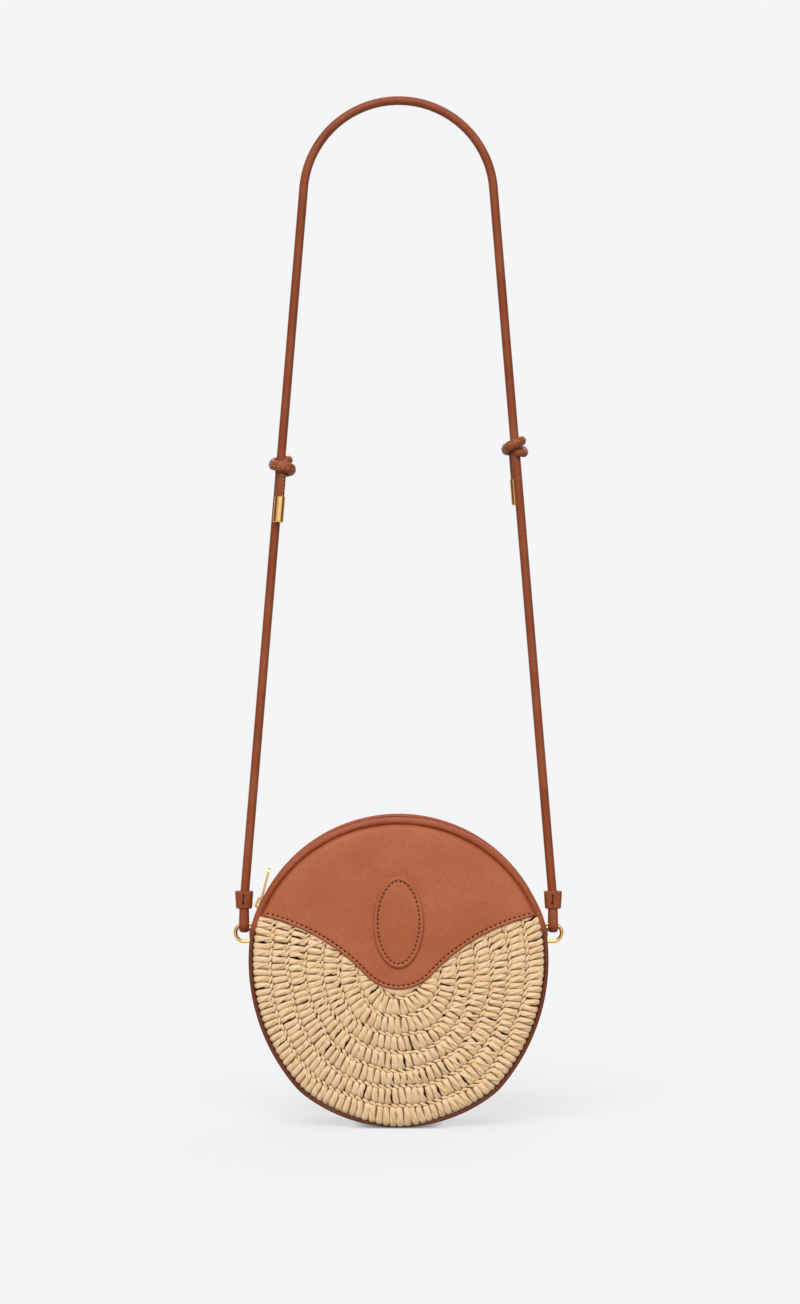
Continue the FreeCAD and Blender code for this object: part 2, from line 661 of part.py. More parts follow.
make_front()
make_badge()
make_back()
make_piping("front_piping", "-piping_level")
make_piping("back_piping", "piping_level")


# Side wall and zip. The zip lies on the round top of the bag, so its pieces turn about the bag's middle

def make_arc_strip(label, near, far, inner, outer):
    body = new_body(label)
    sketch = new_sketch(body, "YZ_Plane")
    rectangle(sketch, near, far, inner, outer)
    revolve(body, sketch, "H_Axis", "zip_sweep")
    place(body, "bag_level")
    return body


def zip_clearing():
    """The sector of the side wall that the zip and its strips take up."""
    sector = doc.addObject("PartDesign::Body", "zip_clearing")
    sketch = new_sketch(sector, "YZ_Plane")
    rectangle(sketch, "-wedge_edge", "wedge_edge", "overrun", "wedge_outer")
    revolve(sector, sketch, "H_Axis", "zip_sweep")
    return sector


def make_gusset():
    clearing = zip_clearing()
    blank = prism(gusset_outline, BACK, "half_depth", "half_depth")
    inside = prism(gusset_inner_outline, BACK, "wedge_edge", "wedge_edge")
    wall = boolean("Cut", boolean("Cut", blank, inside), clearing)
    place(keep(wall, "lower_gusset"), "bag_level")
    lining_blank = prism(inset_outline("lining_outer_inset"), BACK, "lining_half_depth", "lining_half_depth")
    lining_inside = prism(inset_outline("lining_inner_inset"), BACK, "wedge_edge", "wedge_edge")
    lining = boolean("Cut", boolean("Cut", lining_blank, lining_inside), clearing)
    place(keep(lining, "gusset_lining"), "bag_level")


make_gusset()
make_arc_strip("zip_gusset_front", "-half_depth", "-strip_edge", "strip_inner", "strip_outer")
make_arc_strip("zip_gusset_back", "strip_edge", "half_depth", "strip_inner", "strip_outer")
make_arc_strip("zip_tape_front", "-tape_far_edge", "-tape_edge", "tape_inner", "strip_inner")
make_arc_strip("zip_tape_back", "tape_edge", "tape_far_edge", "tape_inner", "strip_inner")


def about_middle(angle):
    """Turn from the top of the bag towards the right-hand side."""
    return Rotation(Vector(0, 1, 0), angle)


def draw_tooth(body, length, front, stop=False):
    """One tooth on the top of the bag: a head past the tape's edge and two legs that grip the tape.
    A stop has the same legs, and a head that ends short of the middle."""
    sign, other = ("-", "") if front else ("", "-")
    far, edge = sign + "tooth_far", sign + "tape_edge"
    tip = sign + "stop_tip" if stop else other + "tooth_tip"
    sketch = new_sketch(body, "YZ_Plane")
    slot = ("tooth_slot_high", edge, "tooth_slot_low", far)
    stepped_profile(sketch, "tooth_low", tip, "tooth_high", far, *slot)
    return pad(body, sketch, length, centred=True)


def make_teeth(label, front):
    step = math.degrees(size("tooth_pitch") / size("tape_middle"))
    start = -size("first_tooth_angle") if front else -size("first_tooth_angle") + step / 2
    count = int((size("last_tooth_angle") - start) / step)
    body = new_body(label)
    tooth = draw_tooth(body, "tooth_length", front)
    row = body.newObject("PartDesign::PolarPattern", f"{label}_row")
    row.Originals = [tooth]
    row.Axis = (tooth.Profile[0], ["H_Axis"])
    row.Angle = step * (count - 1)
    row.Occurrences = count
    body.Tip = row
    place(body, "bag_level", rotation=about_middle(start))


make_teeth("zip_teeth_front", True)
make_teeth("zip_teeth_back", False)


def make_stops():
    """Two stops close the left end of the zip, one on each tape, and one bar joins the tapes at the right."""
    angle = size("stop_angle")
    for label, front in (("zip_stop_front", True), ("zip_stop_back", False)):
        body = new_body(label)
        draw_tooth(body, "stop_length", front, stop=True)
        place(body, "bag_level", rotation=about_middle(-angle))
    body = new_body("zip_end_bar")
    sketch = new_sketch(body, "YZ_Plane")
    left_slot = ("tooth_slot_high", "-tape_edge", "tooth_slot_low", "-tooth_far")
    right_slot = ("tooth_slot_low", "tape_edge", "tooth_slot_high", "tooth_far")
    stepped_profile(sketch, "tooth_high", "-tooth_far", *left_slot, "tooth_low", "tooth_far", *right_slot)
    pad(body, sketch, "stop_length", centred=True)
    place(body, "bag_level", rotation=about_middle(angle))


make_stops()


# Slider: two plates round the teeth, the post that parts them, turned-in edges and a bridge for the pull

def make_slider():
    body = new_body("zip_slider")
    plate = new_sketch(body, "XY_Plane", "top_plate_low")
    rectangle(plate, "-slider_half_length", "slider_half_length", "-slider_half_width", "slider_half_width")
    pad(body, plate, "slider_plate")
    post = new_sketch(body, "XY_Plane", "under_plate_high")
    rectangle(post, "-wedge_front", "-wedge_back", "-wedge_half_width", "wedge_half_width")
    pad(body, post, "wedge_height")
    under = new_sketch(body, "XY_Plane", "under_plate_low")
    rectangle(under, "-slider_half_length", "slider_half_length", "-slider_half_width", "slider_half_width")
    base = pad(body, under, "slider_plate")
    base = fillet(body, base, "slider_corner", is_plate_corner)
    for level in ("top_lip_low", "under_plate_high"):
        lips = new_sketch(body, "XY_Plane", level)
        rectangle(lips, "-wedge_back", "wedge_back", "lip_inner", "slider_half_width")
        rectangle(lips, "-wedge_back", "wedge_back", "-slider_half_width", "-lip_inner")
        base = pad(body, lips, "slider_lip_drop")
    bridge = new_sketch(body, "XZ_Plane")
    rectangle(bridge, "-bail_half_length", "bail_half_length", "top_plate_high", "bail_top")
    pad(body, bridge, "bail_width", centred=True)
    window = new_sketch(body, "XZ_Plane")
    rectangle(window, "-bail_window_half", "bail_window_half", "top_plate_high", "bail_under")
    base = pocket(body, window, "bail_width", centred=True)
    fillet(body, base, "bail_round", is_bridge_corner)
    place(body, "bag_level", rotation=about_middle(-size("slider_angle")))


def is_plate_corner(edge):
    """Upright edges at the four corners of the slider's plates."""
    middle = edge.CenterOfMass
    at_end = abs(middle.x) > size("wedge_front")
    return runs_along(edge, Vector(0, 0, 1)) and at_end


def is_bridge_corner(edge):
    """Edges across the slider at the top of the bridge."""
    middle = edge.CenterOfMass
    on_top = middle.z > size("bail_under") and abs(middle.x) > size("bail_window_half")
    return runs_along(edge, Vector(0, 1, 0)) and on_top


def make_pull():
    """A flat tab whose window goes over the bridge; its cross bar turns under the bridge."""
    body = new_body("zip_pull")
    bar = new_sketch(body, "XZ_Plane")
    centred_circle(bar, "pull_bar_radius")
    pad(body, bar, "pull_width", centred=True)
    tab = new_sketch(body, "XY_Plane")
    rectangle(tab, "pull_window_length", "pull_end_centre", "-pull_half_width", "pull_half_width")
    pad(body, tab, "pull_thickness", centred=True)
    tip = new_sketch(body, "XY_Plane")
    circle_on_axis(tip, "pull_half_width", "pull_end_centre", "X")
    pad(body, tip, "pull_thickness", centred=True)
    arms = new_sketch(body, "XY_Plane")
    rectangle(arms, "pull_arm_start", "pull_window_length", "pull_window_half", "pull_half_width")
    rectangle(arms, "pull_arm_start", "pull_window_length", "-pull_half_width", "-pull_window_half")
    pad(body, arms, "pull_thickness", centred=True)
    angle = -size("slider_angle")
    turn = about_middle(angle)
    pivot = turn.multVec(Vector(0, 0, size("pull_pivot")))
    body.Placement = Placement(pivot + Vector(0, 0, size("bag_level")), about_middle(angle - size("pull_lean")))


make_slider()
make_pull()


# D-rings in their tabs. Both sides are alike, the left one turned half round about Z

SIDES = (("right", Rotation()), ("left", Rotation(Vector(0, 0, 1), 180)))


def make_ring(label, rotation):
    body = new_body(label)
    bar, bend_x = size("ring_bar"), size("strap_side")
    bend, corner = size("ring_bend_radius"), size("ring_corner")
    half, quarter = math.pi, math.pi / 2
    path = new_sketch(body, "XZ_Plane")
    pieces = (
        Part.LineSegment(Vector(bar, 0, 0), Vector(bar, corner - bend, 0)),
        arc(bar + corner, corner - bend, corner, half, half + quarter),
        Part.LineSegment(Vector(bar + corner, -bend, 0), Vector(bend_x, -bend, 0)),
        arc(bend_x, 0, bend, -quarter, quarter),
        Part.LineSegment(Vector(bend_x, bend, 0), Vector(bar + corner, bend, 0)),
        arc(bar + corner, bend - corner, corner, quarter, half),
        Part.LineSegment(Vector(bar, bend - corner, 0), Vector(bar, 0, 0)),
    )
    for piece in pieces:
        path.addGeometry(piece)
    bar_low, corner_low, leg_low, round_end, leg_high, corner_high, bar_high = range(len(pieces))
    for piece in range(bar_high):
        constrain(path, ("Tangent", piece, 2, piece + 1, 1))
    constrain(path, ("Coincident", bar_high, 2, bar_low, 1), ("PointOnObject", bar_low, 1, -1))
    constrain(path, ("Vertical", bar_low), ("Horizontal", leg_low), ("Horizontal", leg_high))
    constrain(path, ("Vertical", bar_high), ("PointOnObject", round_end, 3, -1))
    constrain(path, ("Equal", corner_low, corner_high))
    measure(path, "Radius", "ring_corner", corner_low)
    measure(path, "Radius", "ring_bend_radius", round_end)
    measure(path, "DistanceX", "ring_bar", -1, 1, bar_low, 1)
    measure(path, "DistanceX", "strap_side", -1, 1, round_end, 3)
    section = new_sketch(body, "XY_Plane")
    circle_on_axis(section, "ring_wire_radius", "ring_bar", "X")
    doc.recompute()
    wire = body.newObject("PartDesign::AdditivePipe", f"{label}_wire")
    wire.Profile = section
    wire.Spine = (path, [f"Edge{index}" for index in range(1, len(pieces) + 1)])
    place(body, "ring_level", rotation=rotation)


def upright_cylinder(radius, height):
    item = doc.addObject("Part::Cylinder", "post")
    bind(item, Radius=radius, Height=height)
    item.setExpression("Placement.Base.x", cell("ring_bar"))
    item.setExpression("Placement.Base.z", f"{cell('ring_rise')} - {cell(height)} / 2")
    return item


def make_tab(label, rotation):
    """Leather strip across the side wall, raised over the ring's bar and trimmed to the wall's curve."""
    flat = doc.addObject("Part::Box", "tab_flat")
    bind(flat, Length="tab_root", Width="tab_depth", Height="tab_height")
    flat.setExpression("Placement.Base.x", f"{cell('tab_outer')} - {cell('tab_root')}")
    flat.setExpression("Placement.Base.y", f"-{cell('tab_depth')} / 2")
    flat.setExpression("Placement.Base.z", f"{cell('ring_rise')} - {cell('tab_height')} / 2")
    bump = upright_cylinder("tab_bump_radius", "tab_height")
    bore = upright_cylinder("tab_bore_radius", "tab_depth")
    wall = prism(gusset_outline, BACK, "half_depth", "half_depth")
    tab = boolean("Cut", boolean("Cut", boolean("Fuse", flat, bump), bore), wall)
    place(keep(tab, label), "bag_level", rotation=rotation)


for side, facing in SIDES:
    make_tab(f"{side}_side_tab", facing)
    make_ring(f"{side}_d_ring", facing)


# Strap ends: a flat loop folded round the ring and the sleeve that closes it

def make_loop(label, side):
    body = new_body(label)
    bore, radius = size("loop_bore_radius"), size("loop_radius")
    neck, top, eye = size("loop_half_neck"), size("keeper_middle"), size("loop_eye")
    sketch = new_sketch(body, "YZ_Plane")
    draw_drop(sketch, radius, neck, top, "loop_radius")
    pad(body, sketch, "loop_width", centred=True)
    hole = new_sketch(body, "YZ_Plane")
    draw_eye(hole, bore, eye)
    pocket(body, hole, "loop_width", centred=True)
    place(body, "hinge_level", side=side)


def tangent_angle(radius, point_x, point_y):
    """Angle on a circle about the origin where the line to a point on its right touches it."""
    distance = math.hypot(point_x, point_y)
    return math.atan2(point_y, point_x) - math.acos(radius / distance)


def draw_drop(sketch, radius, neck, top, radius_term):
    """Round bottom and two sides that close in to the neck."""
    touch = tangent_angle(radius, neck, top)
    right_touch = Vector(radius * math.cos(touch), radius * math.sin(touch), 0)
    left_touch = Vector(-right_touch.x, right_touch.y, 0)
    right_top, left_top = Vector(neck, top, 0), Vector(-neck, top, 0)
    bottom = sketch.addGeometry(arc(0, 0, radius, math.pi - touch, 2 * math.pi + touch))
    right = sketch.addGeometry(Part.LineSegment(right_touch, right_top))
    lid = sketch.addGeometry(Part.LineSegment(right_top, left_top))
    left = sketch.addGeometry(Part.LineSegment(left_top, left_touch))
    constrain(sketch, ("Coincident", bottom, 3, -1, 1), ("Tangent", bottom, 2, right, 1))
    constrain(sketch, ("Coincident", right, 2, lid, 1), ("Coincident", lid, 2, left, 1))
    constrain(sketch, ("Tangent", left, 2, bottom, 1), ("Horizontal", lid))
    measure(sketch, "Radius", radius_term, bottom)
    measure(sketch, "DistanceX", "loop_half_neck", -1, 1, lid, 1)
    measure(sketch, "DistanceX", "loop_half_neck", lid, 2, -1, 1)
    measure(sketch, "DistanceY", "keeper_middle", -1, 1, lid, 1)


def draw_eye(sketch, radius, eye):
    """The eye of the loop: round where the ring runs, closing to a point above."""
    touch = tangent_angle(radius, 0, eye)
    right_touch = Vector(radius * math.cos(touch), radius * math.sin(touch), 0)
    left_touch = Vector(-right_touch.x, right_touch.y, 0)
    point = Vector(0, eye, 0)
    bottom = sketch.addGeometry(arc(0, 0, radius, math.pi - touch, 2 * math.pi + touch))
    right = sketch.addGeometry(Part.LineSegment(right_touch, point))
    left = sketch.addGeometry(Part.LineSegment(point, left_touch))
    constrain(sketch, ("Coincident", bottom, 3, -1, 1), ("Tangent", bottom, 2, right, 1))
    constrain(sketch, ("Coincident", right, 2, left, 1), ("Tangent", left, 2, bottom, 1))
    constrain(sketch, ("PointOnObject", right, 2, -2))
    measure(sketch, "Radius", "loop_bore_radius", bottom)
    measure(sketch, "DistanceY", "loop_eye", -1, 1, right, 2)


def make_keeper(label, side):
    body = new_body(label)
    sketch = new_sketch(body, "XY_Plane", "keeper_rise")
    rectangle(sketch, "-keeper_half_width", "keeper_half_width", "-keeper_half_depth", "keeper_half_depth")
    base = pad(body, sketch, "keeper_height")
    fillet(body, base, "keeper_corner", lambda edge: runs_along(edge, Vector(0, 0, 1)))
    mouth = new_sketch(body, "XY_Plane", "keeper_rise")
    rectangle(mouth, "-keeper_slot_half", "keeper_slot_half", "-keeper_mouth_half", "keeper_mouth_half")
    pocket(body, mouth, "keeper_half_height", flipped=True)
    bore = new_sketch(body, "XY_Plane", "keeper_middle")
    centred_circle(bore, "keeper_bore_radius")
    pocket(body, bore, "keeper_height", flipped=True)
    place(body, "hinge_level", side=side)


for side, term in (("left", "-strap_side"), ("right", "strap_side")):
    make_loop(f"{side}_strap_loop", term)
    make_keeper(f"{side}_keeper", term)


# Strap cord and knots: round tubes along straight runs and tangent arcs

ROUND_SHARE = 0.45


def rounded_route(points, name):
    """Straight runs between points, each corner an arc as large as its shorter run allows."""
    edges = []
    radii = []
    start = points[0]
    for before, corner, after in zip(points, points[1:], points[2:]):
        back = before - corner
        ahead = after - corner
        reach = ROUND_SHARE * min(back.Length, ahead.Length)
        half_turn = (math.pi - back.getAngle(ahead)) / 2
        radius = reach / math.tan(half_turn)
        back.normalize()
        ahead.normalize()
        middle = back + ahead
        middle.normalize()
        enter = corner + back * reach
        leave = corner + ahead * reach
        top = corner + middle * (radius / math.cos(half_turn) - radius)
        edges.append(Part.LineSegment(start, enter).toShape())
        edges.append(Part.Arc(enter, top, leave).toShape())
        radii.append(radius)
        start = leave
    edges.append(Part.LineSegment(start, points[-1]).toShape())
    print(name, "bend radii", [round(value, 1) for value in radii])
    return Part.Wire(edges)


def tube_along(wire, radius, name):
    first = wire.Edges[0]
    start = first.valueAt(first.FirstParameter)
    direction = first.tangentAt(first.FirstParameter)
    section = Part.Wire([Part.Circle(start, direction, radius).toShape()])
    tube = wire.makePipeShell([section], True, False)
    expected = math.pi * radius ** 2 * wire.Length
    print(name, "length", round(wire.Length, 1), "volume share", round(tube.Volume / expected, 4))
    return tube


def strap_points():
    """Left sleeve, up the straight side, over the bend and down to the right sleeve."""
    radius = size("arch_radius")
    centre = size("cord_radius") - radius
    low = size("hinge_level") + size("keeper_middle") + size("cord_seat")
    end = Vector(size("strap_side"), 0, low)
    right = [end] + [Vector(out * radius, 0, centre + up * radius) for out, up in ARCH_SHARES]
    left = [Vector(-point.x, 0, point.z) for point in right]
    return left + right[::-1]


def make_strap():
    wire = rounded_route(strap_points(), "strap_cord")
    item = doc.addObject("Part::Feature", "strap_cord")
    item.Shape = tube_along(wire, size("cord_radius"), "strap_cord")
    keep(item, "strap_cord")


def knot_points(side):
    """The tail's end, then round the strap once and over the tail to the tucked end behind.

    The right knot is tied the other way round.
    """
    way = 1 if side == "left" else -1
    cord, wrap = size("knot_cord"), size("knot_radius")
    tail_angle, tail_out, tail_up = KNOT_SHARES[0]
    rows = [(tail_angle, tail_out, -size("tail_length") / cord)] + list(KNOT_SHARES)
    points = []
    for angle, out, up in rows:
        turn = way * math.radians(angle)
        reach = wrap + out * cord
        points.append(Vector(reach * math.sin(turn), -reach * math.cos(turn), up * cord))
    return points


def knot_place(side):
    """Stands a knot on the straight side of the strap, the right one with its tail behind."""
    low, high = strap_points()[:2]
    level = size("cord_radius") - size(f"{side}_knot_drop")
    share = (level - low.z) / (high.z - low.z)
    lean = math.degrees(math.atan2(high.x - low.x, high.z - low.z))
    point = low + (high - low) * share
    turn = size("knot_turn")
    if side == "right":
        point = Vector(-point.x, 0, point.z)
        lean = -lean
        turn += 180
    upright = Rotation(Vector(0, 0, 1), turn)
    return Placement(point, Rotation(Vector(0, 1, 0), lean).multiply(upright))


def least_self_gap(wire, diameter):
    """Smallest room between stretches of one tube that are far apart along it."""
    step = diameter / SAMPLE_STEPS
    points = wire.discretize(Distance=step)
    apart = int(math.pi * SAMPLE_STEPS)
    gaps = [(a - b).Length for i, a in enumerate(points) for b in points[i + apart:]]
    return min(gaps) - diameter


SAMPLE_STEPS = 4


def make_knot(side):
    wire = rounded_route(knot_points(side), f"{side}_knot")
    spot = knot_place(side)
    print(f"{side}_knot least gap to itself", round(least_self_gap(wire, size("knot_cord")), 2))
    item = doc.addObject("Part::Feature", f"{side}_knot")
    item.Shape = tube_along(wire, size("knot_cord") / 2, f"{side}_knot")
    item.Placement = spot
    keep(item, f"{side}_knot")
    ferrule = new_body(f"{side}_ferrule")
    sketch = new_sketch(ferrule, "XY_Plane", "-ferrule_drop")
    centred_circle(sketch, "ferrule_radius")
    base = pad(ferrule, sketch, "ferrule_length")
    level = -size("ferrule_drop")
    fillet(ferrule, base, "ferrule_round", lambda edge: abs(edge.CenterOfMass.z - level) < size("ferrule_play"))
    bore = new_sketch(ferrule, "XY_Plane", "-tail_length")
    centred_circle(bore, "ferrule_bore")
    pocket(ferrule, bore, "ferrule_length", flipped=True)
    tail = knot_points(side)[0]
    ferrule.Placement = spot.multiply(Placement(Vector(tail.x, tail.y, 0), Rotation()))


make_strap()
make_knot("left")
make_knot("right")


# Check every object, then write one file for each piece

doc.recompute()
failed = [item.Name for item in doc.Objects if {"Invalid", "Error"} & set(item.State)]
empty = [item.Label for item in PARTS if item.Shape.isNull() or not item.Shape.isValid()]
if failed or empty:
    raise RuntimeError(f"failed objects {failed}, empty or invalid pieces {empty}")

os.makedirs("parts", exist_ok=True)
for item in PARTS:
    item.Shape.exportStep(os.path.join("parts", f"{item.Label}.step"))
    print(item.Label, "solids", len(item.Shape.Solids), "volume", round(item.Shape.Volume, 1))
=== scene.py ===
# %% [markdown]
# # A round shoulder bag with a crocheted raffia front
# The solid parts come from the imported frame, in metres: +Z is up, the front faces -Y, and the origin
# is under the strap where a hook would carry it. Every soft piece is made again here, in its real
# form, over the solid that stands for it. Metal pieces keep their solids and get a finish.

# %% Load the frame
import math

import bpy
import numpy as np
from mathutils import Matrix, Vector


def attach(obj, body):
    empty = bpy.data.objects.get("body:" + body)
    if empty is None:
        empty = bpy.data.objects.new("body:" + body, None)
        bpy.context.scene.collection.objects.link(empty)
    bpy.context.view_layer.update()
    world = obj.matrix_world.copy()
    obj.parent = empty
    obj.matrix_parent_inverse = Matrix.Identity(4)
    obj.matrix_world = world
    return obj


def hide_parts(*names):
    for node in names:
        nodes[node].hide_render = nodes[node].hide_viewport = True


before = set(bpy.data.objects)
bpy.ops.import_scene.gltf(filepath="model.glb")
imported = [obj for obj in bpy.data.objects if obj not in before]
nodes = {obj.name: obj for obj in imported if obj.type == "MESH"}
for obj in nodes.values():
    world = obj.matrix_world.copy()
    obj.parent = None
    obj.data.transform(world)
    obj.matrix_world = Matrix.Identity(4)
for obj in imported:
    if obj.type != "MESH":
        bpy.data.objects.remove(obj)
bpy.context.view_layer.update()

scene = bpy.context.scene
scene.view_settings.view_transform = "Standard"

# %% [markdown]
# ## Camera
# The photograph looks straight at the bag with the lens level. The strap's crown and the bag's middle
# give the scale. Little shows behind the piping at the top, though the lens is level with the middle of the
# strap, so it stands well off, at about 2.2 m. The focal length is worked out in the photograph's pixels.

# %% Camera
MM = 0.001
PHOTO_HEIGHT, FOCAL_PIXELS = 1304, 3525
SENSOR_HEIGHT = 36
CAMERA_PLACE = (0.0009, -2.2, -0.3414)

lens = bpy.data.cameras.new("photo_camera")
lens.sensor_fit = "VERTICAL"
lens.sensor_height = SENSOR_HEIGHT
lens.lens = SENSOR_HEIGHT * FOCAL_PIXELS / PHOTO_HEIGHT
camera = bpy.data.objects.new("photo_camera", lens)
camera.location = CAMERA_PLACE
camera.rotation_euler = (math.radians(90), 0, 0)
scene.collection.objects.link(camera)
scene.camera = camera
print("camera lens", round(lens.lens, 1), "mm")

# %% [markdown]
# ## Helpers for materials
# Colours are written as the sRGB hex values one would pick from a picture and turned to linear light
# here. A pattern's scale comes from the real size of its grain, in millimetres. Nodes could be made and wired
# line by line; one small function that takes settings and links together keeps each finish readable.

# %% Material helpers
def linear(hex_code):
    """The linear colour of an sRGB hex value."""
    channels = [int(hex_code[at:at + 2], 16) / 255 for at in (1, 3, 5)]
    return tuple(c / 12.92 if c < 0.04045 else ((c + 0.055) / 1.055) ** 2.4 for c in channels) + (1,)


def grain_scale(size_mm):
    """Texture scale, per metre, whose marks come out about this wide."""
    return 1 / (size_mm * MM)


def add_node(tree, kind, inputs=None, **settings):
    """Adds a node; an input takes a value, or the socket that it is linked from."""
    node = tree.nodes.new(kind)
    for name, value in settings.items():
        setattr(node, name, value)
    for name, value in (inputs or {}).items():
        if isinstance(value, bpy.types.NodeSocket):
            tree.links.new(value, node.inputs[name])
        else:
            node.inputs[name].default_value = value
    return node


def new_material(name):
    material = bpy.data.materials.new(name)
    material.use_nodes = True
    material.node_tree.nodes.clear()
    return material, material.node_tree


def show(tree, shader):
    add_node(tree, "ShaderNodeOutputMaterial", {"Surface": shader.outputs[0]})


print("a grain of 1 mm has a texture scale of", round(grain_scale(1)))

# %% [markdown]
# ## Leather
# The bag is smooth calfskin, dyed through and lightly waxed: nearly even in colour, with a soft broad
# highlight, fine pores and slow clouds of tone a few centimetres wide. Real pores are too fine to show here,
# so they are drawn about half a millimetre apart. A picture of leather could be wrapped on, but each piece
# would have to be unwrapped for it; noise and cells that know only millimetres fit every piece as it is.
# The strap and the piping are the same skin, stretched over a core, which closes the pores and darkens it.

# %% Leather
CLOUD_MM, SPECK_MM = 28, 1.6
POLISH_SPREAD = 0.07


def calf_leather(name, deep, middle, light, roughness, pore_mm, relief_mm):
    """Three tones, then the mean roughness, how far apart the pores are and how deep the skin is marked."""
    material, tree = new_material(name)
    place = add_node(tree, "ShaderNodeTexCoord").outputs["Object"]
    clouds = add_node(tree, "ShaderNodeTexNoise", {
        "Vector": place, "Scale": grain_scale(CLOUD_MM), "Detail": 3})
    pores = add_node(tree, "ShaderNodeTexVoronoi", {"Vector": place, "Scale": grain_scale(pore_mm)})
    specks = add_node(tree, "ShaderNodeTexNoise", {
        "Vector": place, "Scale": grain_scale(SPECK_MM), "Detail": 5})
    cloud_share = add_node(tree, "ShaderNodeMapRange", {
        "Value": clouds.outputs["Fac"], "From Min": 0.35, "From Max": 0.65})
    speck_share = add_node(tree, "ShaderNodeMapRange", {
        "Value": specks.outputs["Fac"], "From Min": 0.3, "From Max": 0.7, "To Max": 0.45})
    tone = add_node(tree, "ShaderNodeMixRGB", {
        "Fac": cloud_share.outputs["Result"], "Color1": linear(middle), "Color2": linear(light)})
    colour = add_node(tree, "ShaderNodeMixRGB", {
        "Fac": speck_share.outputs["Result"], "Color1": tone.outputs["Color"], "Color2": linear(deep)})
    polish = add_node(tree, "ShaderNodeMapRange", {
        "Value": specks.outputs["Fac"],
        "To Min": roughness - POLISH_SPREAD, "To Max": roughness + POLISH_SPREAD})
    skin = add_node(tree, "ShaderNodeBump", {
        "Height": pores.outputs["Distance"], "Strength": 0.5, "Distance": relief_mm * MM})
    skin = add_node(tree, "ShaderNodeBump", {
        "Height": specks.outputs["Fac"], "Strength": 0.4, "Distance": relief_mm * MM,
        "Normal": skin.outputs["Normal"]})
    shader = add_node(tree, "ShaderNodeBsdfPrincipled", {
        "Base Color": colour.outputs["Color"], "Roughness": polish.outputs["Result"],
        "Normal": skin.outputs["Normal"], "IOR": 1.48, "Specular IOR Level": 0.28,
        "Sheen Weight": 0.04, "Sheen Roughness": 0.5})
    show(tree, shader)
    return material


panel_leather = calf_leather("calf_leather_panels", "#984A2B", "#AF5F38", "#B76843", 0.5, 0.6, 0.05)
strap_leather = calf_leather("calf_leather_strap", "#752E15", "#8F431E", "#9E5530", 0.46, 0.5, 0.04)
# a darker copy of the piping's leather, painted shade for the lower piping along the raffia
shaded_welt_leather = calf_leather("calf_leather_painted_shade", "#5A220F", "#6E3216", "#7A4023", 0.46, 0.5, 0.04)
welt_leather = calf_leather("calf_leather_welt", "#873A1F", "#9F4F2B", "#A85A36", 0.46, 0.5, 0.04)
leathers = (panel_leather, strap_leather, shaded_welt_leather, welt_leather)
print("leathers:", [leather.name for leather in leathers])

# %% [markdown]
# ## Raffia
# Raffia is dried palm leaf, split into ribbons: matt straw with long fine fibres and a waxy edge. A texture
# laid straight over the front would cut across the strands. So every point of a strand carries four numbers:
# where across the ribbon it is, how far along, how much painted shade it takes, and which strand it belongs
# to. The fibres then run along each strand, and the low places and flanks are painted toasty brown as shade.

# %% Raffia
# about 12 fibres across a ribbon 3 mm wide, each running on for several millimetres
FIBRE_STRETCH = (6, 0.18, 40)
# the tint changes slowly along a ribbon, and from one strand to the next
TINT_STRETCH = (0.3, 0.12, 40)


def straw_raffia():
    material, tree = new_material("dried_raffia_straw")
    across, along, depth, strand = [
        add_node(tree, "ShaderNodeAttribute", attribute_name=label).outputs["Fac"]
        for label in ("across", "along", "depth", "strand")]
    spot = add_node(tree, "ShaderNodeCombineXYZ", {"X": across, "Y": along, "Z": strand}).outputs["Vector"]
    fibres = add_node(tree, "ShaderNodeMapping", {"Vector": spot, "Scale": FIBRE_STRETCH})
    fibre = add_node(tree, "ShaderNodeTexNoise", {
        "Vector": fibres.outputs["Vector"], "Scale": 1, "Detail": 3})
    tints = add_node(tree, "ShaderNodeMapping", {"Vector": spot, "Scale": TINT_STRETCH})
    tint = add_node(tree, "ShaderNodeTexNoise", {
        "Vector": tints.outputs["Vector"], "Scale": 1, "Detail": 1})
    tint_share = add_node(tree, "ShaderNodeMapRange", {
        "Value": tint.outputs["Fac"], "From Min": 0.32, "From Max": 0.68})
    pale = add_node(tree, "ShaderNodeMixRGB", {
        "Fac": tint_share.outputs["Result"], "Color1": linear("#EBC594"), "Color2": linear("#F5D8AE")})
    fibre_share = add_node(tree, "ShaderNodeMapRange", {
        "Value": fibre.outputs["Fac"], "From Min": 0.5, "From Max": 0.8, "To Max": 0.5})
    lined = add_node(tree, "ShaderNodeMixRGB", {
        "Fac": fibre_share.outputs["Result"], "Color1": pale.outputs["Color"], "Color2": linear("#CB9C62")})
    # painted shade: the folds and flanks of the strands are mixed towards brown here, standing in for their
    # shade
    shade_mix = add_node(tree, "ShaderNodeMapRange", {
        "Value": depth, "From Min": 0.1, "From Max": 1, "To Max": 0.9})
    colour = add_node(tree, "ShaderNodeMixRGB", {
        "Fac": shade_mix.outputs["Result"], "Color1": lined.outputs["Color"], "Color2": linear("#8F5526")})
    ridges = add_node(tree, "ShaderNodeBump", {
        "Height": fibre.outputs["Fac"], "Strength": 0.6, "Distance": 0.12 * MM})
    shader = add_node(tree, "ShaderNodeBsdfPrincipled", {
        "Base Color": colour.outputs["Color"], "Normal": ridges.outputs["Normal"], "Roughness": 0.58,
        "IOR": 1.5, "Specular IOR Level": 0.3, "Sheen Weight": 0.1})
    show(tree, shader)
    return material


raffia = straw_raffia()
print("straw:", raffia.name)

# %% [markdown]
# ## Cloth and thread
# Behind the raffia lies black cotton, the pouch inside is tan cotton and the zip's tapes are woven in brown.
# Their threads are finer than a pixel, so the weave is drawn coarse enough to show. The sewing thread is
# twisted polyester, waxed, which gives it a fine ply and a dull shine. All this is small, so two sets of
# bands or one noise is enough.

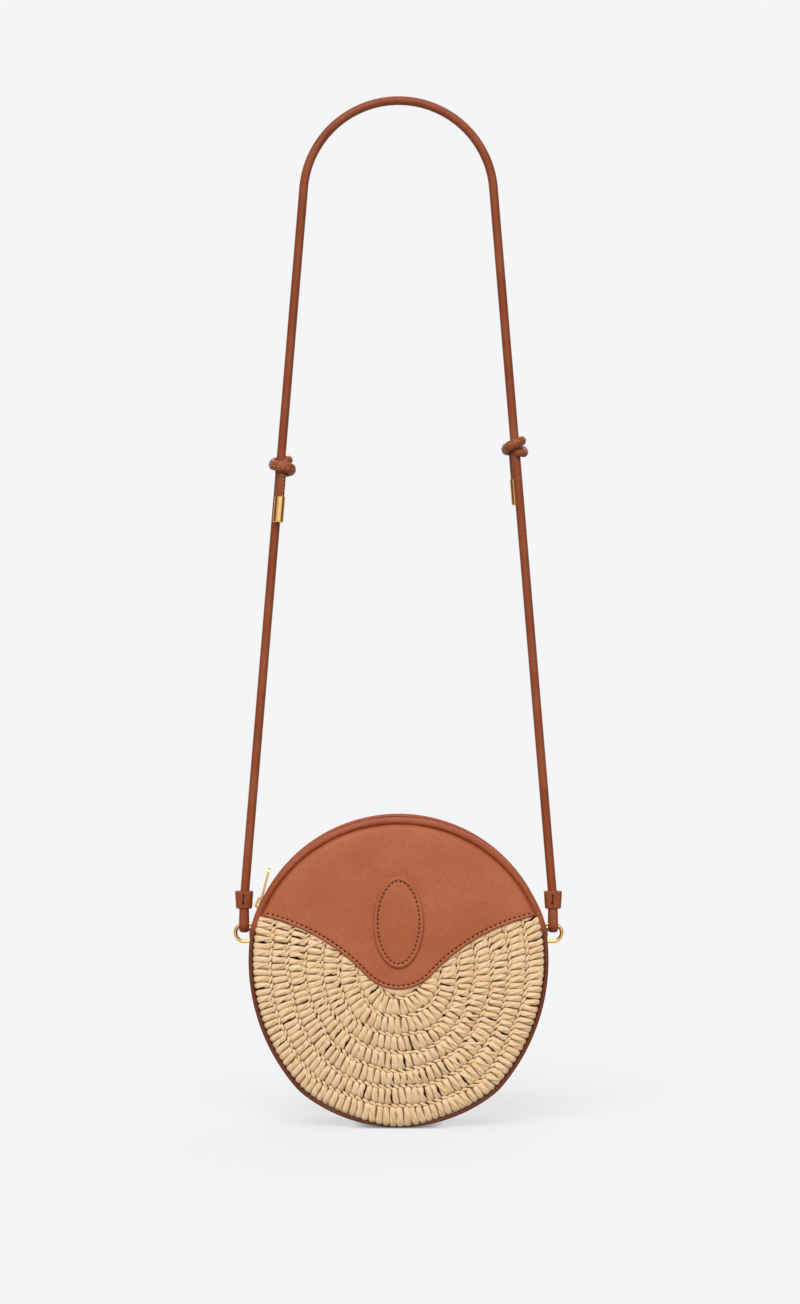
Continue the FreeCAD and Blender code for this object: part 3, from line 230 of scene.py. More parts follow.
# %% Cloth and thread
# a band of the wave texture repeats about every 0.31 of a unit, so this gives one band to a thread
BAND_PERIOD = 0.31
PLY_MM = 0.4


def woven_cloth(name, dark, light, thread_mm):
    """Two sets of bands at right angles."""
    material, tree = new_material(name)
    place = add_node(tree, "ShaderNodeTexCoord").outputs["Object"]
    scale = grain_scale(thread_mm) * BAND_PERIOD
    warp = add_node(tree, "ShaderNodeTexWave", {"Vector": place, "Scale": scale}, bands_direction="X")
    weft = add_node(tree, "ShaderNodeTexWave", {"Vector": place, "Scale": scale}, bands_direction="Z")
    weave = add_node(tree, "ShaderNodeMath", {0: warp.outputs["Fac"], 1: weft.outputs["Fac"]},
                     operation="MULTIPLY")
    colour = add_node(tree, "ShaderNodeMixRGB", {
        "Fac": weave.outputs["Value"], "Color1": linear(dark), "Color2": linear(light)})
    ridges = add_node(tree, "ShaderNodeBump", {
        "Height": weave.outputs["Value"], "Strength": 0.5, "Distance": 0.1 * MM})
    shader = add_node(tree, "ShaderNodeBsdfPrincipled", {
        "Base Color": colour.outputs["Color"], "Normal": ridges.outputs["Normal"], "Roughness": 0.85,
        "Sheen Weight": 0.2})
    show(tree, shader)
    return material


def waxed_thread(name, dark, light):
    material, tree = new_material(name)
    place = add_node(tree, "ShaderNodeTexCoord").outputs["Object"]
    ply = add_node(tree, "ShaderNodeTexNoise", {"Vector": place, "Scale": grain_scale(PLY_MM), "Detail": 2})
    colour = add_node(tree, "ShaderNodeMixRGB", {
        "Fac": ply.outputs["Fac"], "Color1": linear(dark), "Color2": linear(light)})
    twist = add_node(tree, "ShaderNodeBump", {
        "Height": ply.outputs["Fac"], "Strength": 0.4, "Distance": 0.05 * MM})
    shader = add_node(tree, "ShaderNodeBsdfPrincipled", {
        "Base Color": colour.outputs["Color"], "Normal": twist.outputs["Normal"], "Roughness": 0.6,
        "Specular IOR Level": 0.2})
    show(tree, shader)
    return material


backing_cloth = woven_cloth("black_cotton_backing", "#120C09", "#2A1F18", 0.9)
lining_cloth = woven_cloth("cotton_twill_lining", "#6F5438", "#8E7150", 0.7)
tape_cloth = woven_cloth("woven_zip_tape", "#4A2416", "#7A4229", 0.8)
dark_thread = waxed_thread("waxed_thread_dark", "#1E0A05", "#381409")
seam_thread = waxed_thread("waxed_thread_tan", "#B57A4E", "#D6A274")
fabrics = (backing_cloth, lining_cloth, tape_cloth, dark_thread, seam_thread)
print("cloth and thread:", [fabric.name for fabric in fabrics])

# %% [markdown]
# ## Brass
# The fittings are pale brass, cast, polished and lacquered, so they are bright with a slightly blurred
# reflection. The film of lacquer is not quite even, which a slow noise in colour and roughness gives.

# %% Brass
FILM_MM = 2.5


def lacquered_brass():
    material, tree = new_material("lacquered_brass")
    place = add_node(tree, "ShaderNodeTexCoord").outputs["Object"]
    film = add_node(tree, "ShaderNodeTexNoise", {"Vector": place, "Scale": grain_scale(FILM_MM), "Detail": 4})
    colour = add_node(tree, "ShaderNodeMixRGB", {
        "Fac": film.outputs["Fac"], "Color1": linear("#CFA05A"), "Color2": linear("#DFB577")})
    polish = add_node(tree, "ShaderNodeMapRange", {
        "Value": film.outputs["Fac"], "To Min": 0.16, "To Max": 0.3})
    shader = add_node(tree, "ShaderNodeBsdfPrincipled", {
        "Base Color": colour.outputs["Color"], "Metallic": 1.0, "Roughness": polish.outputs["Result"]})
    show(tree, shader)
    return material


brass = lacquered_brass()
print("metal:", brass.name)

# %% [markdown]
# ## Helpers for meshes
# Primitives and modifiers could be bent into the forms of this bag, but rows of points that are worked out
# say exactly where the leather goes. So a piece is rows of points joined by quads. It is given a finish, set
# to ride on its body and told which solids it stands for. A shape
# is a pair, its points in millimetres in the frame and its faces.

# %% Mesh helpers
def unit(vectors):
    return vectors / np.linalg.norm(vectors, axis=-1, keepdims=True)


def around(count):
    """Angles evenly round a circle."""
    return np.linspace(0, 2 * math.pi, count, endpoint=False)


def grid_faces(rows, columns):
    """Quads between neighbouring rows of points, with the end of each row joined to its start."""
    faces = []
    for row in range(rows - 1):
        for column in range(columns):
            a = row * columns + column
            b = row * columns + (column + 1) % columns
            faces.append((a, b, b + columns, a + columns))
    return faces


def sweep(sections, closed=False):
    """Joins equal closed sections, one after the other, and caps the ends or joins them."""
    sections = np.asarray(sections)
    count, columns = sections.shape[:2]
    size = count * columns
    if closed:
        faces = [tuple(corner % size for corner in face) for face in grid_faces(count + 1, columns)]
    else:
        faces = grid_faces(count, columns)
        faces.append(tuple(range(columns))[::-1])
        faces.append(tuple(range(size - columns, size)))
    return sections.reshape(-1, 3), faces


def join(shapes):
    """Several shapes as one."""
    points, faces, start = [], [], 0
    for some_points, some_faces in shapes:
        points.append(some_points)
        faces += [tuple(corner + start for corner in face) for face in some_faces]
        start += len(some_points)
    return np.concatenate(points), faces


def settle(piece, body, replaced=()):
    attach(piece, body)
    if replaced:
        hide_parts(*replaced)
    return piece


def dress(name, shape, body, material, slot, replaced=(), **numbers):
    """Makes the object of a shape; numbers are values that its points carry for the finish."""
    points, faces = shape
    mesh = bpy.data.meshes.new(name)
    mesh.from_pydata((np.asarray(points) * MM).tolist(), [], faces)
    for label, values in numbers.items():
        attribute = mesh.attributes.new(label, "FLOAT", "POINT")
        attribute.data.foreach_set("value", np.asarray(values, np.float32))
    mesh.polygons.foreach_set("use_smooth", [True] * len(mesh.polygons))
    mesh.validate()
    mesh.materials.append(material)
    piece = bpy.data.objects.new(name, mesh)
    scene.collection.objects.link(piece)
    return settle(piece, body, replaced)


print("two rings of 6 points:", len(grid_faces(2, 6)), "quads")

# %% [markdown]
# ## Strap
# The strap is a leather tube sewn round a soft cord, 5.4 mm thick and about 1.07 m long between the two
# sleeves. It hangs taut by the crown. Its line is one smooth NURBS spline through the same route as the
# solid, so it bends like leather and not like wire. One more point on each side keeps the long side straight.
# The sewn leather stands a tenth of a millimetre proud of the solid.

# %% Strap
STRAP_SIDE = (
    (-0.09635, 0, -0.49565),
    (-0.06048, 0, -0.06692),
    (-0.05797, 0, -0.03686),
    (-0.04152, 0, -0.01162),
    (-0.01503, 0, 0.0027),
)
strap_route = list(STRAP_SIDE) + [(-x, y, z) for x, y, z in reversed(STRAP_SIDE)]
STRAP_LENGTH, STRAP_DIAMETER = 1.068, 0.0054
SEWN_PROUD = 0.1 * MM


def smooth_curve(name, route):
    data = bpy.data.curves.new(name, "CURVE")
    data.dimensions = "3D"
    spline = data.splines.new("NURBS")
    spline.points.add(len(route) - 1)
    for point, place in zip(spline.points, route):
        point.co = (*place, 1)
    spline.order_u = 3
    spline.use_endpoint_u = True
    data.resolution_u = 24
    curve = bpy.data.objects.new(name, data)
    scene.collection.objects.link(curve)
    return curve


def spline_points(name, route):
    """Points along the smooth line of a route, read from its spline, in millimetres."""
    curve = smooth_curve(name, route)
    bpy.context.view_layer.update()
    line = bpy.data.meshes.new_from_object(curve)
    points = np.array([vertex.co for vertex in line.vertices]) / MM
    bpy.data.objects.remove(curve)
    bpy.data.meshes.remove(line)
    return points


def run_along(chain):
    """How far along a chain of points each of them is."""
    return np.concatenate([[0], np.cumsum(np.linalg.norm(np.diff(chain, axis=0), axis=1))])


strap = smooth_curve("strap", strap_route)
strap.data.bevel_depth = STRAP_DIAMETER / 2 + SEWN_PROUD
strap.data.bevel_resolution = 6
strap.data.use_fill_caps = True
strap.data.materials.append(strap_leather)
settle(strap, "strap", ["strap_cord"])
strap_line = spline_points("strap_line", strap_route)
print("strap", round(float(run_along(strap_line)[-1]), 1), "mm long")

# %% [markdown]
# The tube is closed by a seam along its back. Tan thread shows there as short stitches 3 mm apart. A bump in
# the leather could draw them, but it is flat at the strap's edge, so each stitch is a small bent thread.

# %% Stitches and the strap's seam
SEAM_PITCH = 3.0
SEAM_THREAD = {"length": 2.0, "radius": 0.28}


def read_at(spots, run, rows):
    """Rows of numbers that are known along a run, read at other places on it."""
    return np.stack([np.interp(spots, run, column) for column in rows.T], 1)


def every(chain, pitch):
    """Points a fixed pitch apart along a chain, with the way it runs there."""
    chain = np.asarray(chain, float)
    run = run_along(chain)
    count = int(run[-1] / pitch)
    spots = (np.arange(count) + 0.5) * run[-1] / count
    return read_at(spots, run, chain), unit(read_at(spots, run, np.gradient(chain, axis=0)))


def stitches(middles, ways, outs, length, radius):
    """Short threads that come up out of the leather and go down again."""
    middles, ways, outs = (np.asarray(item, float) for item in (middles, ways, outs))
    along = np.array((-0.5, -0.4, 0.0, 0.4, 0.5))
    rise = np.array((-1.3, -0.1, 0.35, -0.1, -1.3))
    thick = np.array((0.55, 0.95, 1.0, 0.95, 0.55))
    turn = around(6)[:, None]
    threads = []
    for middle, way, out in zip(middles, unit(ways), unit(outs)):
        side = np.cross(way, out)
        ring = np.cos(turn) * side + np.sin(turn) * out
        sections = []
        for step, lift, reach in zip(along, rise, thick):
            spot = middle + way * step * length + out * lift * radius
            sections.append(spot + reach * radius * ring)
        threads.append(sweep(sections))
    return join(threads)


spots, ways = every(strap_line, SEAM_PITCH)
outs = np.tile((0.0, 1.0, 0.0), (len(spots), 1))
threads = stitches(spots + outs * STRAP_DIAMETER / 2 / MM, ways, outs, **SEAM_THREAD)
strap_seam = dress("strap_seam", threads, "strap", seam_thread, "strap_leather")
print("strap seam", len(spots), "stitches")

# %% [markdown]
# ## Loops at the strap's ends
# Each end of the strap is pressed flat and folded round its ring. The loop is one section, flat towards the
# ring and round on the outside, swept down the front, round the ring and up the back. A bent box would do
# for the fold, but its edges would be sharp where pressed leather is soft.

# %% Loops
HINGE_LEVEL = -511.6
STRAP_X = -STRAP_SIDE[0][0] / MM
LOOP_BEND = 3.15
LOOP_TOP = np.array((1.25, 15.4))
LOOP_OUTSIDE, LOOP_INSIDE = 1.75, 1.05


def squared(wave, power):
    """A sine or cosine drawn out towards the corners of its square."""
    return np.sign(wave) * np.abs(wave) ** power


def loop_path():
    """Middle of the band in the Y-Z plane: down the front, round the ring, up the back."""
    low = np.linspace(math.radians(187), math.radians(353), 25)
    bend = np.stack([LOOP_BEND * np.cos(low), LOOP_BEND * np.sin(low)], 1)
    rise = np.linspace(0, 1, 12)[1:, None]
    up = bend[-1] + (LOOP_TOP - bend[-1]) * rise
    down = (np.array((-1, 1)) * up)[::-1]
    return np.concatenate([down, bend, up])


def make_loop(side, sign):
    path = loop_path()
    along = unit(np.gradient(path, axis=0))
    turn = around(28)
    thick = np.where(np.sin(turn) > 0, LOOP_OUTSIDE, LOOP_INSIDE) * squared(np.sin(turn), 0.85)
    broad = squared(np.cos(turn), 0.8)[:, None] * np.array((1, 0, 0))
    sections = []
    for (y, z), (way_y, way_z) in zip(path, along):
        outward = np.array((0, way_z, -way_y))
        half_width = np.interp(z, (-3, 3, 10), (3.1, 3.08, 2.95))
        place = np.array((sign * STRAP_X, y, HINGE_LEVEL + z))
        sections.append(half_width * broad + thick[:, None] * outward + place)
    return dress(f"{side}_loop", sweep(sections), "strap", strap_leather, "strap_leather",
                 [f"{side}_strap_loop"])


print("band of a loop", round(float(run_along(loop_path())[-1]), 1), "mm long")

# %% [markdown]
# ## Sleeves
# A leather sleeve with one long stitch holds each loop shut. It is a rounded box, a little wider at the top,
# with a hollow for the strap. A box with bevels and a cut could be made, but rounded rectangles lofted up the
# outside and down the inside give the whole sleeve in one closed sweep, with soft edges.

# %% Sleeves
# level above the turning line, half width, half depth
SLEEVE_OUTSIDE = (
    (10.35, 4.3, 3.75), (10.2, 4.6, 4.1), (10.45, 4.85, 4.35), (11.0, 4.95, 4.42), (13.5, 5.15, 4.5),
    (16.5, 5.35, 4.55), (19.5, 5.54, 4.6), (20.6, 5.6, 4.6), (21.0, 5.5, 4.5), (21.1, 5.15, 4.2),
)
SLEEVE_INSIDE = ((20.9, 3.5, 3.5), (20.4, 3.25, 3.25), (15.7, 3.25, 3.25), (10.6, 3.25, 3.25))
SLEEVE_CORNER = 2.4
SIDES = (("left", -1), ("right", 1))
STITCH_PLACE, STITCH_WAY = np.array((-0.4, -4.6, 16.1)), (0.06, 0, 1)
HOLE_SINK, HOLE_REACH = np.array((0, 0.1, 0)), np.array((0.15, 0, 2.45))


def rounded_rectangle(half_x, half_y, corner, count=7):
    """Corner by corner, counter-clockwise as seen from above."""
    points = []
    for quarter, (sign_x, sign_y) in enumerate(((1, 1), (-1, 1), (-1, -1), (1, -1))):
        for angle in np.linspace(0, math.pi / 2, count) + quarter * math.pi / 2:
            points.append((sign_x * (half_x - corner) + corner * math.cos(angle),
                           sign_y * (half_y - corner) + corner * math.sin(angle)))
    return np.array(points)


def make_sleeve(side, sign):
    sections = []
    for level, half_x, half_y in SLEEVE_OUTSIDE + SLEEVE_INSIDE:
        ring = rounded_rectangle(half_x, half_y, min(SLEEVE_CORNER, 0.7 * half_y))
        ring = np.concatenate([ring, np.full((len(ring), 1), level)], 1)
        sections.append(ring + np.array((sign * STRAP_X, 0, HINGE_LEVEL)))
    return dress(f"{side}_sleeve", sweep(sections, closed=True), "strap", strap_leather, "strap_leather",
                 [f"{side}_keeper"])


def make_sleeve_stitch(side, sign):
    """One long thread, and thick bumps of the dark thread at the two holes that it goes into, painted shade
    for the holes.
    """
    middle = np.array((sign * STRAP_X, 0, HINGE_LEVEL)) + STITCH_PLACE
    holes = [middle + HOLE_SINK + HOLE_REACH * way for way in (-1, 1)]
    out = (0, -1, 0)
    # painted shade: each hole is a short thick bump of dark thread
    shape = join([stitches([middle], [STITCH_WAY], [out], length=5.2, radius=0.38),
                  stitches(holes, [STITCH_WAY] * 2, [out] * 2, length=1.3, radius=0.7)])
    return dress(f"{side}_sleeve_stitch", shape, "strap", dark_thread, "strap_leather")


strap_ends = []
for side, sign in SIDES:
    strap_ends += [make_loop(side, sign), make_sleeve(side, sign), make_sleeve_stitch(side, sign)]
print("strap ends:", [piece.name for piece in strap_ends])

# %% [markdown]
# ## Knots
# On each side a second cord is tied round the strap: it comes up from its brass-tipped tail, goes once
# round, crosses over the tail and tucks in behind. The route follows the solid's, drawn up tighter, because
# leather that is pulled tight goes flat against the strap and broad across. An even tube could not do that.
# So the line is a NURBS spline, and the sections along it change from round on the tail to flat and broad in
# the knot. The right knot is tied the other way round, with its tail behind.

# %% Routes of the knots
TAIL_REACH, TAIL_LENGTH = 6.17, 33.8
# degrees round the strap, millimetres out from its middle and up from the knot's middle
KNOT_ROUTE = (
    (0, TAIL_REACH, -TAIL_LENGTH), (0, TAIL_REACH, -9.1), (1, 5.7, -1.2), (20, 5.5, 3.2),
    (64, 5.5, 4.7), (122, 5.5, 4.6), (178, 5.4, 3.5), (228, 5.4, 2.1), (272, 5.6, 0.9),
    (312, 7.6, 0.3), (345, 10.9, -0.1), (377, 11.6, -0.6), (409, 9.4, -1.4), (448, 6.4, -2.5),
    (490, 5.6, -3.3), (524, 5.5, -3.3), (560, 5.4, -2.9),
)
# the straight side of the strap runs from its foot up to its shoulder
SHOULDER_X, SHOULDER_Z = -STRAP_SIDE[2][0] / MM, STRAP_SIDE[2][2] / MM
FOOT_Z, CROWN_Z = STRAP_SIDE[0][2] / MM, STRAP_SIDE[-1][2] / MM
STRAP_LEAN = math.atan2(STRAP_X - SHOULDER_X, SHOULDER_Z - FOOT_Z)
KNOT_DROPS = {"left": 228.5, "right": 217.2}
KNOT_TURNS = {"left": 15, "right": 195}


def knot_route(way):
    """Metres round an upright strap; way is 1 or -1, the way the cord is wound."""
    route = []
    for degrees, reach, up in KNOT_ROUTE:
        turn = way * math.radians(degrees)
        route.append((reach * math.sin(turn) * MM, -reach * math.cos(turn) * MM, up * MM))
    return route


def knot_frame(side, sign):
    """Turns and moves the knot's own millimetres to its place on the strap."""
    turn = math.radians(KNOT_TURNS[side])
    lean = -sign * STRAP_LEAN
    about_z = np.array(((math.cos(turn), -math.sin(turn), 0), (math.sin(turn), math.cos(turn), 0), (0, 0, 1)))
    about_y = np.array(((math.cos(lean), 0, math.sin(lean)), (0, 1, 0), (-math.sin(lean), 0, math.cos(lean))))
    level = CROWN_Z - KNOT_DROPS[side]
    out = SHOULDER_X + (SHOULDER_Z - level) * math.tan(STRAP_LEAN)
    return about_y @ about_z, np.array((sign * out, 0, level))


print("strap leans", round(math.degrees(STRAP_LEAN), 2), "degrees")

# %% [markdown]
# The tube of the knot's cord is sewn too. Its seam runs along the outside of the knot, turned a little to
# one side, and stops where the ferrule begins.

# %% Knots
# share of the cord's length, half thickness towards the strap, half breadth
KNOT_SECTIONS = (
    (0, 2.6, 2.6), (0.36, 2.6, 2.6), (0.46, 2.3, 2.9), (0.55, 2.0, 3.1), (0.7, 2.0, 3.2),
    (0.85, 2.05, 3.3), (0.93, 2.0, 2.7), (0.985, 1.7, 2.1), (1, 0.6, 0.8),
)
KNOT_PITCH, SEAM_SLANT, TUCKED_POINTS, FERRULE_TOP = 2.4, 0.3, 4, -18.5


def across_line(line):
    """At each point of the line: the way out from the strap, and the way across the cord."""
    ways = unit(np.gradient(line, axis=0))
    outs = unit(line * np.array((1, 1, 0)))
    outs = unit(outs - ways * (outs * ways).sum(1, keepdims=True))
    return outs, np.cross(ways, outs)


def make_knot(side, sign):
    line = spline_points("knot_line", knot_route(-sign))
    turned, place = knot_frame(side, sign)
    run = run_along(line)
    share = run / run[-1]
    known, thick, broad = np.array(KNOT_SECTIONS).T
    half_thick, half_broad = np.interp(share, known, thick), np.interp(share, known, broad)
    outs, sides = across_line(line)
    turn = around(24)[:, None]
    sections = [spot + a * np.sin(turn) * out + b * np.cos(turn) * across
                for spot, out, across, a, b in zip(line, outs, sides, half_thick, half_broad)]
    points, faces = sweep(sections)
    knot = dress(f"{side}_knot_cord", (points @ turned.T + place, faces), f"{side}_knot", strap_leather,
                 "strap_leather", [f"{side}_knot"])
    spots, ways = every(line[:-TUCKED_POINTS], KNOT_PITCH)
    even = np.linspace(0, 1, len(spots))
    tops = read_at(even, share, outs)
    lifts = np.interp(even, share, half_thick)[:, None]
    outs = unit(tops + SEAM_SLANT * unit(np.cross(ways, tops)))
    shown = spots[:, 2] > FERRULE_TOP
    points, faces = stitches((spots + outs * lifts)[shown], ways[shown], outs[shown], length=1.5, radius=0.3)
    seam = dress(f"{side}_knot_seam", (points @ turned.T + place, faces), f"{side}_knot", seam_thread,
                 "strap_leather")
    return [knot, seam]


knots = [piece for side, sign in SIDES for piece in make_knot(side, sign)]
print("knots:", [piece.name for piece in knots])

# %% [markdown]
# The strap is a taut cord that leaves the left sleeve and ends in the right one.

# %% [markdown]
# ## Shapes of the bag
# All panels share one outline: a circle whose sides are drawn in a little. Front and back each bulge
# like a slice of a very large ball, so a layer's place is its height over that ball. These functions
# work in millimetres from the bag's middle and give numbers for whole arrays of points at once.

# %% Outline, bulge and yoke edge
BAG_MIDDLE = np.array((0, 0, -539.08))
BODY_RADIUS = 95.7
SIDE_RADIUS, SIDE_CENTRE, SIDE_RISE = 120, 27.4, 7.3
OUTLINE_BLEND = 0.2
FRONT_BALL, FRONT_CENTRE = 918.35, 890.35
BACKING_TOP, PADDING_TOP, YOKE_TOP = 1.6, 4.2, 5.6
TIP_RADIUS, TIP_LEVEL = 28, 18.2
SWEEP_RADIUS, SWEEP_SIDE, SWEEP_LEVEL = 121, 108.97, -83.42
PANEL_INSET = 3.0


def outline_radius(angle):
    """Middle to outline; the angle is from the top, towards the right."""
    toward = SIDE_RISE * np.cos(angle) - SIDE_CENTRE * np.abs(np.sin(angle))
    side = toward + np.sqrt(toward ** 2 + SIDE_RADIUS ** 2 - SIDE_CENTRE ** 2 - SIDE_RISE ** 2)
    nearer = np.minimum(side, BODY_RADIUS)
    return nearer - OUTLINE_BLEND * np.log1p(np.exp(-np.abs(side - BODY_RADIUS) / OUTLINE_BLEND))


def outline_chain(inset, start, end, count):
    angle = np.linspace(math.radians(start), math.radians(end), count)
    radius = outline_radius(angle) - inset
    return np.stack([radius * np.sin(angle), radius * np.cos(angle)], 1)


def front_y(x, z, lift):
    return FRONT_CENTRE - np.sqrt((FRONT_BALL + lift) ** 2 - x ** 2 - z ** 2)


def yoke_edge(x):
    """Height of the bell-shaped edge: a round tip between two long sweeps."""
    x = np.abs(x)
    tip = TIP_LEVEL - np.sqrt(np.maximum(TIP_RADIUS ** 2 - x ** 2, 0))
    sweep_line = SWEEP_LEVEL + np.sqrt(np.maximum(SWEEP_RADIUS ** 2 - (x - SWEEP_SIDE) ** 2, 0))
    touch = SWEEP_SIDE * TIP_RADIUS / (TIP_RADIUS + SWEEP_RADIUS)
    return np.where(x < touch, tip, sweep_line)


print("outline across", round(2 * float(outline_radius(math.pi / 2)), 1), "mm")

# %% [markdown]
# A panel is a closed dish. Its rings of points follow the cut of the leather and close up towards the
# middle, so every edge is crisp, which a square grid trimmed to the outline would not give. How far a point
# is from the cut decides how the leather lies there, so the cuts are also kept as chains of close points.

# %% Dishes and cut edges
RIM_POINTS, EDGE_POINTS, CORNER_POINTS = 1200, 721, 2000


def shell(boundary, centre, insets, steps, front, back):
    """A closed dish: rings of points from the middle out to the boundary on the front, and back again."""
    arms = boundary - centre
    length = np.hypot(arms[:, 0], arms[:, 1])[:, None]
    shares = [1 - inset / length for inset in insets]
    inner = [shares[-1] * (1 - step / steps) for step in range(1, steps)]
    rings = [centre + arms * np.clip(share, 0, 1) for share in shares + inner]
    rows = []
    for plane, surface in ((np.stack(rings[::-1]), front), (np.stack(rings), back)):
        x, z = plane[..., 0], plane[..., 1]
        rows.append(np.stack([x, surface(x, z), z], -1))
    points = np.concatenate(rows)
    count, columns = points.shape[:2]
    faces = grid_faces(count, columns)
    hubs = [[centre[0], surface(centre[:1], centre[1:])[0], centre[1]] for surface in (front, back)]
    first, last = count * columns, (count - 1) * columns
    for column in range(columns):
        after = (column + 1) % columns
        faces.append((first, after, column))
        faces.append((first + 1, last + column, last + after))
    return np.concatenate([points.reshape(-1, 3), hubs]) + BAG_MIDDLE, faces


def distance_to(chain, x, z, batch=64):
    """Shortest way from each point to a chain of closely spaced points."""
    nearest = np.full(x.shape, np.inf)
    for at in range(0, len(chain), batch):
        part = chain[at:at + batch]
        gap = np.hypot(x[..., None] - part[:, 0], z[..., None] - part[:, 1])
        nearest = np.minimum(nearest, gap.min(-1))
    return nearest


rim_chain = outline_chain(PANEL_INSET, 0, 360, RIM_POINTS)
quarter = np.linspace(math.radians(40), math.radians(90), CORNER_POINTS)
quarter_reach = outline_radius(quarter) - PANEL_INSET
over_edge = quarter_reach * np.cos(quarter) - yoke_edge(quarter_reach * np.sin(quarter))
corner_at = int(np.argmin(np.abs(over_edge)))
corner_degrees = math.degrees(quarter[corner_at])
corner_x = float((quarter_reach * np.sin(quarter))[corner_at])
edge_x = np.linspace(-corner_x, corner_x, EDGE_POINTS)
edge_chain = np.stack([edge_x, yoke_edge(edge_x)], 1)
print("yoke meets the rim at", round(corner_degrees, 1), "degrees")

# %% [markdown]
# ## Yoke
# The upper front is padded leather cut like a bell. Its lower edge is turned under, so it is round and a
# little proud, with a row of dark stitches sunk in 2.3 mm from it. At the rim it rolls down to the piping.
# Cloth simulation could puff it up, but it would wash out the turned edge and the seam, so the height at each
# point is worked out from how far the two edges are. Slow waves a fraction of a millimetre deep keep the
# leather from looking like a moulding.

# %% Yoke
PATCH_ACROSS, PATCH_UP, PATCH_RISE = 15.7, 28.25, 31.4
EDGE_FOLD, LIP_RISE, GROOVE_DEPTH, GROOVE_WIDTH = 1.1, 0.3, 0.35, 0.55
YOKE_GROOVE, SLACK, PATCH_PULL = 2.3, 0.16, 0.3
TUCK_FROM, TUCK_WIDTH, TUCK_DEPTH = 4.0, 2.4, 3.0
YOKE_HUB = np.array((0, 42.0))
EDGE_INSETS = (0, 0.12, 0.3, 0.55, 0.85, 1.2, 1.6, 2.0, 2.3, 2.6, 3.0, 3.5, 4, 5, 6.5, 8.5, 11)


def rolled_rim(x, z, width, drop):
    """How far a panel has rolled down towards the piping."""
    near = np.clip(1 - distance_to(rim_chain, x, z) / width, 0, 1)
    return drop * near ** 1.5


def tucked_rim(x, z):
    """The last quarter-round of the yoke, down into the seam beside the piping."""
    share = np.clip((TUCK_FROM - distance_to(rim_chain, x, z)) / TUCK_WIDTH, 0, 1)
    return TUCK_DEPTH * (1 - np.sqrt(1 - share ** 2))


def around_patch(x, z):
    """Rough distance outside the oval patch, which pulls the leather down round itself."""
    share = np.hypot(x / PATCH_ACROSS, (z - PATCH_RISE) / PATCH_UP)
    return np.abs(share - 1) * PATCH_ACROSS


def turned_edge(gap, lip_at, lip_width, groove_at):
    """Height along an edge that is turned under: a quarter-round, a slight lip and the groove of its seam."""
    quarter_round = np.sqrt(np.maximum(EDGE_FOLD ** 2 - (EDGE_FOLD - gap) ** 2, 0)) - EDGE_FOLD
    lip = LIP_RISE * np.exp(-((gap - lip_at) / lip_width) ** 2)
    groove = GROOVE_DEPTH * np.exp(-((gap - groove_at) / GROOVE_WIDTH) ** 2)
    return np.where(gap < EDGE_FOLD, quarter_round, 0) + lip - groove


def yoke_lift(x, z):
    gap = distance_to(edge_chain, x, z)
    slack = SLACK * np.sin(x / 9 + 1.3) * np.sin(z / 7 + x / 31) * np.clip(gap / 12, 0, 1)
    tight = PATCH_PULL * np.exp(-(around_patch(x, z) / 1.6) ** 2)
    rim = rolled_rim(x, z, width=12, drop=1.0) + tucked_rim(x, z)
    edge = turned_edge(gap, lip_at=1.1, lip_width=0.7, groove_at=YOKE_GROOVE)
    return YOKE_TOP + edge + slack - tight - rim


def yoke_front(x, z):
    return front_y(x, z, yoke_lift(x, z))


def yoke_back(x, z):
    """The underside: down to the backing where the foam is, and always under the front."""
    filled = np.clip((distance_to(edge_chain, x, z) - 5) / 2, 0, 1)
    low = PADDING_TOP - (PADDING_TOP - BACKING_TOP - 0.1) * filled
    return front_y(x, z, np.minimum(low, np.maximum(yoke_lift(x, z) - 0.8, BACKING_TOP + 0.02)))


arc_chain = outline_chain(PANEL_INSET, corner_degrees, -corner_degrees, 221)
yoke_boundary = np.concatenate([edge_chain[::4], arc_chain[1:-1]])
yoke = dress("yoke", shell(yoke_boundary, YOKE_HUB, EDGE_INSETS, 20, yoke_front, yoke_back), "bag",
             panel_leather, "tan_leather", ["front_yoke", "yoke_padding"])
print("yoke", len(yoke.data.vertices), "points")

# %% [markdown]
# The seam follows the bell edge at an even distance and stops short of the two corners, where the yoke goes
# under the piping. Each stitch lies half sunk in the groove that the yoke's height already has.

# %% Yoke seam
CORNER_LEFT_OUT = 14


def inward(chain, distance):
    """The chain moved to its left, as it runs, by a distance."""
    way = unit(np.gradient(chain, axis=0))
    return chain + distance * np.stack([-way[:, 1], way[:, 0]], 1)


def front_seam(chain, surface, pitch, length, radius):
    """Stitches along a chain of points, half sunk in a surface of the front."""
    spots, ways = every(chain, pitch)
    x, z = spots[:, 0], spots[:, 1]
    middles = np.stack([x, surface(x, z), z], 1)
    outs = middles - np.array((0, FRONT_CENTRE, 0))
    runs = np.stack([ways[:, 0], np.zeros(len(ways)), ways[:, 1]], 1)
    points, faces = stitches(middles, runs, outs, length, radius)
    return points + BAG_MIDDLE, faces


seam_chain = inward(edge_chain, YOKE_GROOVE)[CORNER_LEFT_OUT:-CORNER_LEFT_OUT]
threads = front_seam(seam_chain, yoke_front, pitch=3.1, length=1.9, radius=0.5)
dress("yoke_stitches", threads, "bag", dark_thread, "tan_leather")
print("yoke seam", round(float(run_along(seam_chain)[-1])), "mm long")

# %% [markdown]
# ## Oval patch
# A plain oval of the same leather is sewn on the yoke with its edge turned under. It is a small dish of its
# own that sits a little into the yoke, so the edge throws a real shadow, as a painted line could not.

